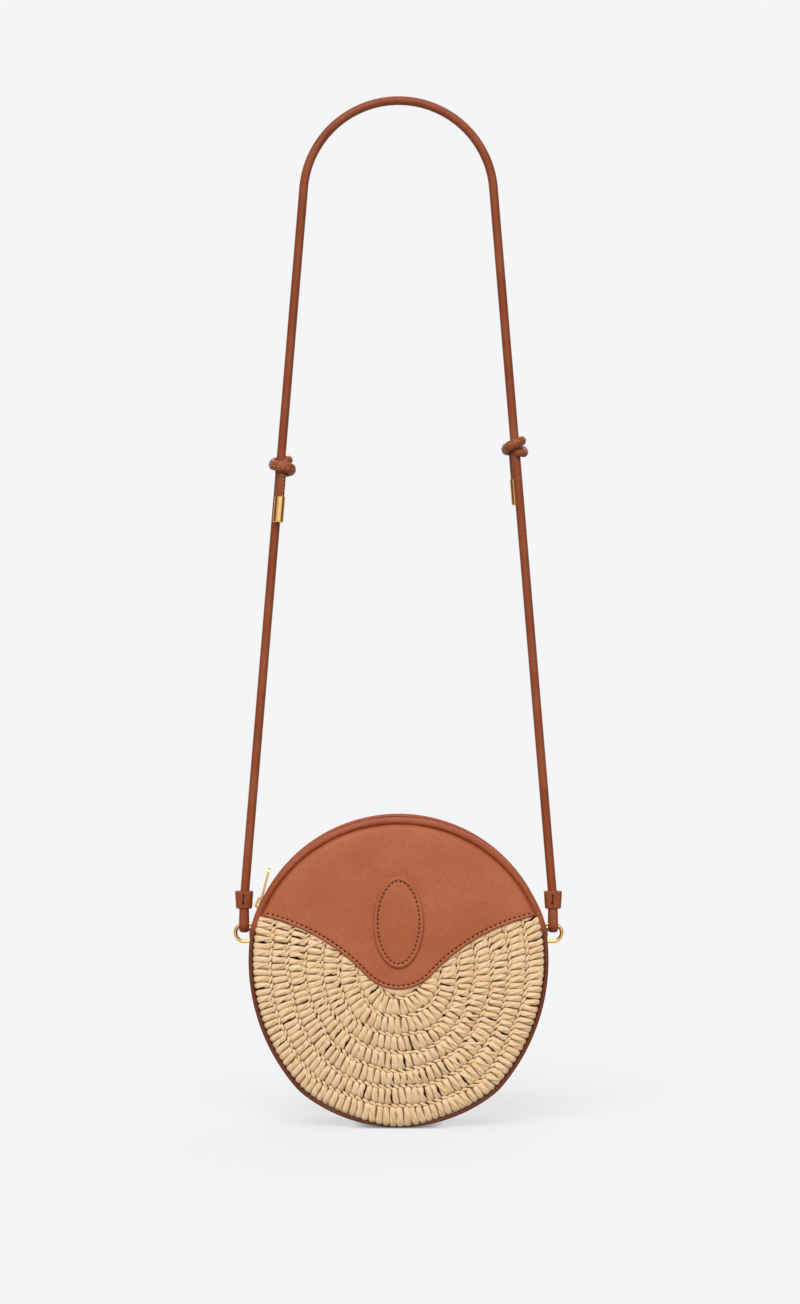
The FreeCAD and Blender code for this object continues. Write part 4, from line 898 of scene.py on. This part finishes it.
# %% Oval patch
PATCH_TOP, PATCH_SINK, PATCH_GROOVE = 6.8, 0.4, 2.9
OVAL_POINTS = 240
turn = around(OVAL_POINTS)
oval = np.stack([PATCH_ACROSS * np.sin(turn), PATCH_RISE + PATCH_UP * np.cos(turn)], 1)
closed_oval = np.vstack([oval, oval[:1]])
oval_chain = read_at(np.linspace(0, OVAL_POINTS, RIM_POINTS), np.arange(OVAL_POINTS + 1), closed_oval)


def patch_front(x, z):
    gap = distance_to(oval_chain, x, z)
    return front_y(x, z, PATCH_TOP + turned_edge(gap, lip_at=1.3, lip_width=0.8, groove_at=PATCH_GROOVE))


def patch_back(x, z):
    return front_y(x, z, YOKE_TOP - PATCH_SINK)


patch_shape = shell(oval, np.array((0, PATCH_RISE)), EDGE_INSETS[:14], 5, patch_front, patch_back)
patch = dress("oval_patch", patch_shape, "bag", panel_leather, "tan_leather", ["front_badge"])
threads = front_seam(inward(oval_chain, -PATCH_GROOVE), patch_front, pitch=2.7, length=1.7, radius=0.45)
dress("patch_stitches", threads, "bag", dark_thread, "tan_leather")
print("oval patch", len(patch.data.vertices), "points")

# %% [markdown]
# ## Crocheted raffia
# The lower front is crocheted in rounds from the bag's middle, about 11 mm to a round and 4.2 mm to a
# stitch. A stitch is a tall post of folded raffia, round on top, that fills its share of the round and dives
# down at both ends, with a second turn of the ribbon slanting over it and a strand low down in the crease
# beside it. A low chain of loops runs between the rounds. A bumpy panel could stand for all that, but
# modelling each post gives the true creases, and here and there a slit where the black backing shows.

# %% Strands of a stitch
RIBBON_SQUARE = 0.68
POST_ROUNDING = 3.2
LOW_HALF_WIDTH, LOW_HALF_HEIGHT = 0.7, 0.65
LOOP_OVERLAP = 0.62


def strand(path, half_width, half_height, sides):
    """A flattened strand: path is across, out and height; the section is a squared oval standing on it."""
    along = unit(np.gradient(path[:, :2], axis=0))
    side = np.stack([along[:, 1], -along[:, 0]], 1)
    turn = around(sides)
    broad = squared(np.cos(turn), RIBBON_SQUARE)
    tall = squared(np.sin(turn), RIBBON_SQUARE)
    flat = path[:, None, :2] + (half_width[:, None] * broad)[..., None] * side[:, None, :]
    height = path[:, None, 2] + half_height[:, None] * tall
    return np.concatenate([flat, height[..., None]], -1), np.broadcast_to(broad, height.shape)


def post(low, high, room, lean, bend, slit):
    """The broad post; room is half its share of the round, slit is how far its right side parts."""
    share = np.linspace(0, 1, 15)
    length = high - low + 0.7
    out = low - 0.4 + length * share
    from_end = np.minimum(share, 1 - share) * length
    rounding = np.sqrt(np.clip(1 - (1 - np.minimum(from_end / POST_ROUNDING, 1)) ** 2, 0.1, 1))
    parted = slit * np.exp(-((share - 0.62) / 0.26) ** 4)
    fan = out / ((low + high) / 2)
    across = lean * (share - 0.5) + bend * (4 * share * (1 - share) - 0.6) - parted / 2
    half_height = 0.42 + 1.0 * rounding
    path = np.stack([across, out, half_height + 0.05], 1)
    return strand(path, room * fan * (0.22 + 0.78 * rounding) - parted / 2, half_height, 14)


def over_turn(low, high, room, slant, lift):
    """The turn of ribbon that slants over the post."""
    share = np.linspace(0, 1, 12)
    length = high - low - 0.4
    bow = np.sin(math.pi * share) ** 0.6
    path = np.stack([slant * room * (share - 0.5), low + 0.2 + length * share, 1.4 + (1.2 + lift) * bow], 1)
    return strand(path, room * (0.24 + 0.2 * bow), 0.35 + 0.45 * bow, 10)


def low_strand(low, high, room, lean):
    """Raffia down in the crease on the post's right side, painted brown nearly all over as the crease's
    shade.
    """
    share = np.linspace(0, 1, 5)
    same = np.ones(5)
    out = low + 0.5 + (high - low - 0.8) * share
    across = lean * (share - 0.5) + room * out * 2 / (low + high)
    path = np.stack([across, out, LOW_HALF_WIDTH * same], 1)
    return strand(path, LOW_HALF_WIDTH * same, LOW_HALF_HEIGHT * same, 6)


def chain_loop(high, tilt, pitch):
    """One loop of the chain between two rounds, lapping over the next."""
    share = np.linspace(-LOOP_OVERLAP, LOOP_OVERLAP, 9)
    bow = 1 - (share / LOOP_OVERLAP) ** 2
    path = np.stack([share * pitch, high - 0.5 + tilt * share, 1.0 + 0.8 * bow], 1)
    return strand(path, 0.5 + 0.45 * bow, 0.5 + 0.4 * bow, 8)


print("a post has", post(10, 20, 2, 0, 0, 0)[1].size, "points")

# %% [markdown]
# A strand is made straight, as if the front were flat, and then laid on the bulge: its across becomes an
# angle and its out a radius. All radii are scaled to the bag's outline, so the last round meets the piping.
# Strands that reach the yoke are pressed down under it.

# %% Laying a strand on the front
ROUND_EDGES = (3.5, 15.3, 27.3, 38.7, 49.1, 59.7, 70.8, 82.2, 92.7)
RAFFIA_HEIGHT, RIM_INSET = 3.9, 2.2
shapes, marks = [], {"across": [], "along": [], "depth": [], "strand": []}
chance = np.random.default_rng(seed=11)


def yoke_slope(x, step=0.05):
    return (yoke_edge(x + step) - yoke_edge(x - step)) / (2 * step)


def on_front(grid, angle, radius):
    """Lays a strand on the bulged front; the angle is from straight down, towards the right."""
    across, out, height = grid[..., 0], grid[..., 1], grid[..., 2]
    turn = angle + across / radius
    rim = outline_radius(math.pi - turn) - RIM_INSET
    reach = out * rim / ROUND_EDGES[-1]
    x, z = reach * np.sin(turn), -reach * np.cos(turn)
    under_yoke = (z - yoke_edge(x)) / np.hypot(1, yoke_slope(x))
    pressed = np.interp(rim - reach, (1, 3, 7), (0.3, 0.6, PADDING_TOP - BACKING_TOP - 0.3))
    lid = RAFFIA_HEIGHT + (pressed - RAFFIA_HEIGHT) * np.clip((under_yoke + 2.6) / 2.3, 0, 1)
    edge = np.interp(rim - reach, (0, 1, 3), (1.9, 2.7, RAFFIA_HEIGHT))
    height = np.minimum(height, np.minimum(lid, edge))
    y = front_y(x, z, BACKING_TOP + 0.05 + height)
    return np.stack([x, y, z], -1) + BAG_MIDDLE, height


def add_strand(grid, broad, angle, radius, flank_shade=1.0, shade_all=0.0):
    """Lays a strand and keeps the four numbers of its points; its low places and its flanks get painted shade
    in brown.
    """
    laid, height = on_front(grid, angle, radius)
    shapes.append(sweep(laid))
    # painted shade: low places and flanks are given brown for the shade in the creases
    sunk = np.clip((2.3 - height) / 1.7, 0, 1)
    flank = flank_shade * np.clip((np.abs(broad) - 0.84) / 0.16, 0, 1)
    marks["across"].append(broad.ravel())
    marks["along"].append(np.repeat(run_along(laid[:, 0]), height.shape[1]))
    marks["depth"].append(np.maximum(np.maximum(sunk, flank), shade_all).ravel())
    marks["strand"].append(np.full(height.size, chance.random()))


print("rounds of crochet:", len(ROUND_EDGES) - 1)

# %% [markdown]
# Hand work is never even. A seeded random draw leans, bends, thickens and parts the stitches, and the edges
# of the rounds wander in slow waves. At the foot of the bag the last round laps over the piping.

# %% Rounds of crochet
STITCH_PITCH, CHAIN_WIDTH = 4.2, 1.5
SLIT_CHANCE, FOOT_LAP, FOOT_SPREAD = 0.17, 2.2, 0.2
PAST_EDGE, PAST_SIDE = 7.5, 93
# height in millimetres, number round the bag and shift from round to round
EDGE_WAVES = ((0.45, 4, 1.7), (0.35, 9, 2.9), (0.25, 17, 0.6))
# mean and spread of what the hand varies; of a slit, its smallest and its greatest width
HAND = {
    "place": (0, 0.035), "room": (0.975, 0.035), "lean": (0.9, 0.6), "bend": (0.15, 0.4),
    "slit": (0.45, 1.1), "slant": (1.9, 0.6), "lift": (-0.05, 0.2), "tilt": (1.7, 0.5),
}
last_round = len(ROUND_EDGES) - 2


def round_edge(level, angle):
    """Radius of a round's edge; the first and the last stay even."""
    if level in (0, last_round + 1):
        return ROUND_EDGES[level]
    waves = [size * math.sin(times * angle + shift * level) for size, times, shift in EDGE_WAVES]
    return ROUND_EDGES[level] + sum(waves)


stitch_count = 0
for level in range(last_round + 1):
    radius = (ROUND_EDGES[level] + ROUND_EDGES[level + 1]) / 2
    count = round(2 * math.pi * radius / STITCH_PITCH)
    offset = chance.random()
    for stitch in range(count):
        angle = 2 * math.pi * (stitch + offset + chance.normal(*HAND["place"])) / count
        room = math.pi * radius / count * chance.normal(*HAND["room"])
        lean, bend = chance.normal(*HAND["lean"]), chance.normal(*HAND["bend"])
        slit = chance.uniform(*HAND["slit"]) if chance.random() < SLIT_CHANCE else 0
        slant, lift = chance.normal(*HAND["slant"]), chance.normal(*HAND["lift"])
        tilt = chance.normal(*HAND["tilt"])
        x, z = radius * math.sin(angle), -radius * math.cos(angle)
        if z > yoke_edge(np.array(x)) + PAST_EDGE or abs(x) > PAST_SIDE:
            continue
        low, high = round_edge(level, angle), round_edge(level + 1, angle)
        top = high - CHAIN_WIDTH
        if level == last_round:
            from_foot = abs(math.remainder(angle, 2 * math.pi))
            top = high - 0.9 + FOOT_LAP * math.exp(-(from_foot / FOOT_SPREAD) ** 2)
        add_strand(*post(low, top, room, lean, bend, slit), angle, radius)
        add_strand(*over_turn(low, top, room, slant, lift), angle, radius, flank_shade=0.8)
        if not slit:
            # painted shade: the low strand in the crease is brown nearly all over
            add_strand(*low_strand(low, top, room, lean), angle, radius, shade_all=0.85)
        if level < last_round:
            loop = chain_loop(high, tilt, 2 * math.pi * high / count)
            add_strand(*loop, angle, high, flank_shade=0.7)
        stitch_count += 1
numbers = {label: np.concatenate(values) for label, values in marks.items()}
crochet = dress("raffia_crochet", join(shapes), "bag", raffia, "raffia", ["raffia_panel"], **numbers)
print("crochet", stitch_count, "stitches,", len(crochet.data.polygons), "faces")

# %% [markdown]
# ## Cloth behind the crochet and back panel
# Black cotton lies behind the raffia and shows in its slits. The back is one padded leather panel on a stiff
# board, rolled down at the rim. Both are the same kind of dish as the yoke, so the same function makes them.
# The back leather runs on under its piping, which has no second layer over it.

# %% Backing and back panel
CENTRE = np.zeros(2)
BACK_BALL, BACK_CENTRE = 1527.9, -1501.9
LAYER_LOW, BACK_TOP = 0.8, 3.0
BACK_INSET, PANEL_POINTS = 2.0, 241
BACK_INSETS = (0, 0.3, 0.8, 1.5, 2.5, 4, 6, 8.5)


def back_y(x, z, lift):
    return BACK_CENTRE + np.sqrt((BACK_BALL + lift) ** 2 - x ** 2 - z ** 2)


def flipped(shape):
    """The same shape with its faces turned over."""
    points, faces = shape
    return points, [face[::-1] for face in faces]


backing_boundary = outline_chain(PANEL_INSET, 0, 360, PANEL_POINTS)[:-1]
backing_shape = shell(backing_boundary, CENTRE, BACK_INSETS[::2], 12,
                      lambda x, z: front_y(x, z, BACKING_TOP), lambda x, z: front_y(x, z, LAYER_LOW))
dress("raffia_backing_cloth", backing_shape, "bag", backing_cloth, "dark_cloth", ["raffia_backing"])

back_boundary = outline_chain(BACK_INSET, 0, 360, PANEL_POINTS)[:-1]
back_shape = shell(back_boundary, CENTRE, BACK_INSETS, 14,
                   lambda x, z: back_y(x, z, BACK_TOP - rolled_rim(x, z, width=9, drop=1.6)),
                   lambda x, z: back_y(x, z, LAYER_LOW))
back_panel = dress("back_leather", flipped(back_shape), "bag", panel_leather, "tan_leather",
                   ["back_panel", "back_stiffener"])
print("back panel", len(back_panel.data.vertices), "points")

# %% [markdown]
# ## Lining
# The lining is a cotton pouch: a front, a back and a strip round the side that stops at the zip. It could
# hang loose, but it is held at every edge, so two shallow dishes and a bent strip show it well enough.

# %% Lining
LINING_TOP, LINING_INSET = 0.6, 5.0
LINING_HALF, LINING_OUTER, LINING_INNER, LINING_START = 22.6, 4.2, 4.8, 70
lining_boundary = outline_chain(LINING_INSET, 0, 360, 181)[:-1]


def band(start, end, steps, section):
    """A strip round the bag's side: the section gives Y and the inset from the outline."""
    section = np.asarray(section, float)
    sections = []
    for angle in np.radians(np.linspace(start, end, steps)):
        reach = outline_radius(angle) - section[:, 1]
        sections.append(np.stack([reach * np.sin(angle), section[:, 0], reach * np.cos(angle)], 1))
    return sweep(np.array(sections) + BAG_MIDDLE)


def lining_side(surface):
    return shell(lining_boundary, CENTRE, (0, 2, 6), 8,
                 lambda x, z: surface(x, z, LINING_TOP), lambda x, z: surface(x, z, 0.0))


strip_section = ((-LINING_HALF, LINING_OUTER), (LINING_HALF, LINING_OUTER),
                 (LINING_HALF, LINING_INNER), (-LINING_HALF, LINING_INNER))
lining_strip = band(LINING_START, 360 - LINING_START, 120, strip_section)
lining_shape = join([lining_side(front_y), flipped(lining_side(back_y)), lining_strip])
lining = dress("lining_pouch", lining_shape, "bag", lining_cloth, "lining_cloth",
               ["front_lining", "back_lining", "gusset_lining"])
print("lining", len(lining.data.vertices), "points")

# %% [markdown]
# ## Piping
# Both panels are edged with piping: leather wrapped round a thin cord and sewn in the seam. A tube follows
# the outline, 2.8 mm thick, and fuller along the yoke, where two more layers of leather and foam push it out.
# A bevelled curve would make an even tube; rings of points let it swell on its way. Along the raffia it is
# the same leather drawn tighter, in a darker copy that is painted shade for the piping lying under the
# raffia's edge.

# %% Piping
PIPING_RADIUS, PIPING_Y, FULL_PIPING, CORNER_TURN = 1.4, 24.4, 0.75, 74


def tube(path, radius, sides, closed):
    """A round tube along closely spaced points, carried along without twist."""
    if closed:
        ahead = unit(np.roll(path, -1, 0) - np.roll(path, 1, 0))
    else:
        ahead = unit(np.gradient(path, axis=0))
    up = np.array((0.0, 1.0, 0.0))
    turn = around(sides)[:, None]
    sections = []
    for point, way, reach in zip(path, ahead, radius):
        up = unit(up - way * up.dot(way))
        out = np.cross(way, up)
        sections.append(point + reach * (np.cos(turn) * up + np.sin(turn) * out))
    return sweep(sections, closed)


def welt(name, facing, start, end, leather, replaced=()):
    """An arc of piping, or the whole round; start and end are degrees from the top."""
    whole = end - start == 360
    degrees = np.linspace(start, end, end - start + 1)[:-1 if whole else None]
    from_top = np.abs((degrees + 180) % 360 - 180)
    fuller = FULL_PIPING * np.interp(from_top, (CORNER_TURN - 3, CORNER_TURN + 2), (1, 0)) * (facing < 0)
    radius = PIPING_RADIUS + fuller
    turn = np.radians(degrees)
    reach = outline_radius(turn) - radius
    path = np.stack([reach * np.sin(turn), facing * (PIPING_Y + fuller * 0.6), reach * np.cos(turn)], 1)
    return dress(name, tube(path + BAG_MIDDLE, radius, 16, whole), "bag", leather, "tan_leather", replaced)


welts = [
    welt("front_welt", -1, -CORNER_TURN, CORNER_TURN, welt_leather, ["front_piping"]),
    # painted shade: the lower piping takes the darker copy of the leather
    welt("front_welt_low", -1, CORNER_TURN, 360 - CORNER_TURN, shaded_welt_leather),
    welt("back_welt", 1, 0, 360, welt_leather, ["back_piping"]),
]
print("piping:", [piece.name for piece in welts])

# %% [markdown]
# ## Side wall and zip strips
# The side wall is a leather strip that bows out slightly between the two pipings. Over the top it gives
# way to two narrower strips, turned under along the zip and stitched. The tapes are woven cloth. A flat strip
# could be bent round with a modifier, but a section carried round the outline follows its drawn-in sides.

# %% Side wall and zip strips
WALL_INSET, WALL_INNER, WALL_HALF, WALL_START = 2.4, 4.0, 23, 69.6
STRIP_EDGE, STRIP_LIP, STRIP_END = 7, 8.2, 69.4
# distance from the zip's line, then inset, round the section of a tape
TAPE_SECTION = np.array(((11.0, 4.05), (1.2, 4.05), (1.2, 4.6), (11.0, 4.6)))


def wall_section(near, far, bow, turned):
    """Outer face from near to far, bowed, with soft edges; then the inner face back again."""
    share = np.linspace(0, 1, 13)
    y = near + (far - near) * share
    raised = bow * np.sin(math.pi * share)
    edge = np.minimum(share, 1 - share) * abs(far - near)
    soft = 0.35 * np.clip(1 - edge / 1.2, 0, 1) ** 2
    lip = turned * np.exp(-(np.abs(y) - STRIP_LIP) ** 2)
    outer = np.stack([y, WALL_INSET - raised + soft - lip], 1)
    inner = np.array(((far, WALL_INNER), (near, WALL_INNER)))
    return np.concatenate([outer, inner])


wall_shape = band(WALL_START, 360 - WALL_START, 160, wall_section(-WALL_HALF, WALL_HALF, bow=0.7, turned=0))
wall = dress("side_wall", wall_shape, "bag", panel_leather, "tan_leather", ["lower_gusset"])
for side, sign in (("front", -1), ("back", 1)):
    section = wall_section(sign * WALL_HALF, sign * STRIP_EDGE, bow=0.25, turned=0.3)[::-sign]
    dress(f"zip_strip_{side}", band(-STRIP_END, STRIP_END, 100, section), "bag", panel_leather, "tan_leather",
          [f"zip_gusset_{side}"])
    section = (TAPE_SECTION * np.array((sign, 1)))[::sign]
    dress(f"zip_cloth_{side}", band(-STRIP_END, STRIP_END, 100, section), "bag", tape_cloth, "zip_tape",
          [f"zip_tape_{side}"])
print("side wall", len(wall.data.vertices), "points")

# %% [markdown]
# Dark thread holds the strips along the zip, and crosses the side wall where it laps over their ends.

# %% Side seams
STRIP_SEAM_Y, STRIP_SEAM_END, STRIP_SEAM_LIFT = 9.2, 67.5, 0.18
WALL_SEAM_HALF, WALL_SEAM_TURN, WALL_SEAM_LIFT = 20, 71.4, 0.45


def side_seam(reach, angle, y):
    """Stitches along a line on the side wall, standing out from the bag's middle."""
    spots, ways = every(np.stack(np.broadcast_arrays(reach * np.sin(angle), y, reach * np.cos(angle)), 1),
                        SEAM_PITCH)
    return stitches(spots + BAG_MIDDLE, ways, spots * np.array((1, 0, 1)), **SEAM_THREAD)


strip_turn = np.radians(np.linspace(-STRIP_SEAM_END, STRIP_SEAM_END, 400))
side_seams = [side_seam(BODY_RADIUS - WALL_INSET + STRIP_SEAM_LIFT, strip_turn, sign * STRIP_SEAM_Y)
              for sign in (-1, 1)]
for sign in (-1, 1):
    angle = sign * math.radians(WALL_SEAM_TURN)
    reach = float(outline_radius(angle)) - WALL_INSET + WALL_SEAM_LIFT
    side_seams.append(side_seam(reach, angle, np.linspace(-WALL_SEAM_HALF, WALL_SEAM_HALF, 60)))
dress("side_stitches", join(side_seams), "bag", dark_thread, "tan_leather")
print("side seams:", len(side_seams))

# %% [markdown]
# ## Tabs over the D-rings
# A short strip of leather is sewn across the side wall over the bar of each ring, and rises over it. Its
# profile is flat, with a hump round the bar, smoothed as leather would lie, and swept down the tab's width.

# %% Ring tabs
RING_RISE, RING_BAR, BAR_COVER = 22.5, 91.05, 2.15
TAB_HALF, TAB_FLAT, TAB_INNER, TAB_THICK = 8, 90.7, 89.2, 0.85
# up from the tab's middle, and how far its edge is rounded off there
TAB_LEVELS = ((-3.0, 0.55), (-2.8, 0.2), (-2.2, 0.0), (0.0, 0.0), (2.2, 0.0), (2.8, 0.2), (3.0, 0.55))
TAB_STITCHES = [(90.75, y, RING_RISE + z) for y in (-6.6, 6.6) for z in (-1.5, 1.5)]


def make_tab(side, sign):
    y = np.linspace(-TAB_HALF, TAB_HALF, 41)
    off_bar = np.abs(y)
    hump = RING_BAR + np.sqrt(np.maximum(BAR_COVER ** 2 - y ** 2, 0))
    over = np.where(off_bar < BAR_COVER, hump, TAB_FLAT)
    smooth = np.convolve(np.pad(np.maximum(over, TAB_FLAT), 3, mode="edge"), np.ones(7) / 7, mode="valid")
    top = np.maximum(smooth, np.where(off_bar < 1.4, over, TAB_FLAT))
    inner = np.where(off_bar < 1.7, np.maximum(top - TAB_THICK, TAB_INNER), TAB_INNER)
    soft = 0.5 * np.clip(1 - (TAB_HALF - off_bar), 0, 1) ** 2
    sections = []
    for level, drop in TAB_LEVELS:
        face = top - soft - drop * 0.8
        outer_line = np.stack([face, y], 1)
        inner_line = np.stack([np.minimum(inner, face - 0.2), y], 1)[::-1]
        ring = np.concatenate([outer_line, inner_line])
        ring = np.stack([sign * ring[:, 0], ring[:, 1], np.full(len(ring), RING_RISE + level)], 1)
        sections.append(ring + BAG_MIDDLE)
    tab = dress(f"{side}_tab", sweep(sections[::sign]), "bag", panel_leather, "tan_leather",
                [f"{side}_side_tab"])
    spots = np.array(TAB_STITCHES) * np.array((sign, 1, 1)) + BAG_MIDDLE
    ways, outs = [(0, 0, 1)] * len(spots), [(sign, 0, 0)] * len(spots)
    threads = stitches(spots, ways, outs, length=1.9, radius=0.28)
    dress(f"{side}_tab_stitches", threads, "bag", dark_thread, "tan_leather")
    return tab


tabs = [make_tab(side, sign) for side, sign in SIDES]
print("tabs:", [tab.name for tab in tabs])

# %% [markdown]
# ## Brass pieces
# Rings, ferrules, zip teeth, stops, slider and pull are rigid, and their solids already have the real form,
# so they keep them and get the brass finish.

# %% Brass pieces
METAL = ("left_d_ring", "right_d_ring", "left_ferrule", "right_ferrule", "zip_teeth_front", "zip_teeth_back",
         "zip_stop_front", "zip_stop_back", "zip_end_bar", "zip_slider", "zip_pull")
for name in METAL:
    nodes[name].data.materials.clear()
    nodes[name].data.materials.append(brass)
print("brass pieces:", len(METAL))

# %% [markdown]
# ## Floor
# The bag is shown on a plain pale ground. A lit floor alone would end in a visible edge, so this one is
# mostly self-lit: it meets the background without an edge and still takes a soft shadow. Its glow fades where
# something stands within 6 mm of it, a painted contact shadow that gives the foot of the bag a close dark
# line.

# %% Floor
FLOOR_LEVEL, FLOOR_REACH = -0.63495, 60
FLOOR_GLOW, FOOT_DISTANCE = 0.7, 6 * MM
GROUND = "#F5F5F7"


def seen_by(tree, first, *others):
    """1 for these kinds of ray and 0 for the rest."""
    rays = add_node(tree, "ShaderNodeLightPath")
    seen = rays.outputs[first]
    for kind in others:
        seen = add_node(tree, "ShaderNodeMath", {0: seen, 1: rays.outputs[kind]},
                        operation="MAXIMUM").outputs["Value"]
    return seen


def studio_face(name, corners, material):
    """One flat face that belongs to the studio and not to the bag."""
    mesh = bpy.data.meshes.new(name)
    mesh.from_pydata(corners, [], [(0, 1, 2, 3)])
    mesh.materials.append(material)
    face = bpy.data.objects.new(name, mesh)
    scene.collection.objects.link(face)
    return face


floor_material, tree = new_material("pale_studio_floor")
matt = add_node(tree, "ShaderNodeBsdfDiffuse", {"Color": linear("#8E8E8F")})
seen = seen_by(tree, "Is Camera Ray", "Is Glossy Ray")
shine = add_node(tree, "ShaderNodeMath", {0: seen, 1: FLOOR_GLOW}, operation="MULTIPLY")
# painted shadow: occlusion near the bag's foot dims the floor's glow
near = add_node(tree, "ShaderNodeAmbientOcclusion", {"Distance": FOOT_DISTANCE})
shine = add_node(tree, "ShaderNodeMath", {0: shine.outputs["Value"], 1: near.outputs["AO"]},
                 operation="MULTIPLY")
glow = add_node(tree, "ShaderNodeEmission", {"Color": linear(GROUND), "Strength": shine.outputs["Value"]})
show(tree, add_node(tree, "ShaderNodeAddShader", {0: matt.outputs[0], 1: glow.outputs[0]}))
corners = ((-1, -1), (1, -1), (1, 1), (-1, 1))
studio_face("floor", [(x * FLOOR_REACH, y * FLOOR_REACH, FLOOR_LEVEL) for x, y in corners], floor_material)
print("floor at", FLOOR_LEVEL, "m")

# %% [markdown]
# Polished metal shows what stands round it. Two grey cards to the left and right give the brass its darker
# bands, as a photographer's flags do. Only reflections see them, so they cast no shade and stay out of view.

# %% Grey cards
CARD_X = 1.2
CARD_CORNERS = ((-0.75, -1.6), (0.7, -1.6), (0.7, 1.0), (-0.75, 1.0))
card_material, tree = new_material("grey_card")
speckle = add_node(tree, "ShaderNodeTexNoise", {"Scale": 3})
card_tone = add_node(tree, "ShaderNodeMixRGB", {
    "Fac": speckle.outputs["Fac"], "Color1": linear("#6E6257"), "Color2": linear("#7A6D61")})
show(tree, add_node(tree, "ShaderNodeEmission", {"Color": card_tone.outputs["Color"]}))
for side, sign in SIDES:
    card = studio_face(f"{side}_card", [(sign * CARD_X, y, z) for y, z in CARD_CORNERS], card_material)
    for kind in ("camera", "diffuse", "shadow", "transmission"):
        setattr(card, f"visible_{kind}", False)
print("cards: left and right")

# %% [markdown]
# ## World and lamps
# The light is that of a soft studio: one broad key from high on the left, a fill from the right and a weaker
# light from behind. Area lamps close by would leave the floor brighter in the middle, so all three are far
# off. The world is the ground's pale grey for the camera and for reflections, and a dimmer even light for
# everything else.

# %% World and lamps
AMBIENT = 0.3
# the way to the lamp from the bag, its spread in degrees and its strength
LAMPS = {
    "key_lamp": ((-0.25, -1.0, 0.95), 45, 2.1),
    "fill_lamp": ((0.35, -1.0, 0.35), 60, 0.75),
    "back_lamp": ((0.2, 1.0, 0.8), 60, 0.9),
}
world = bpy.data.worlds.new("studio")
world.use_nodes = True
tree = world.node_tree
tree.nodes.clear()
seen = seen_by(tree, "Is Camera Ray", "Is Glossy Ray", "Is Transmission Ray")
ambient = add_node(tree, "ShaderNodeBackground", {"Color": (1, 1, 1, 1), "Strength": AMBIENT})
ground = add_node(tree, "ShaderNodeBackground", {"Color": linear(GROUND), "Strength": 1.0})
mixed = add_node(tree, "ShaderNodeMixShader", {0: seen, 1: ambient.outputs[0], 2: ground.outputs[0]})
add_node(tree, "ShaderNodeOutputWorld", {"Surface": mixed.outputs[0]})
scene.world = world

for name, (place, spread, strength) in LAMPS.items():
    light = bpy.data.lights.new(name, "SUN")
    light.angle = math.radians(spread)
    light.energy = strength
    lamp = bpy.data.objects.new(name, light)
    lamp.rotation_euler = (-Vector(place)).to_track_quat("-Z", "Y").to_euler()
    scene.collection.objects.link(lamp)
print("lamps:", [light.name for light in bpy.data.lights])

# %% End
print("done")
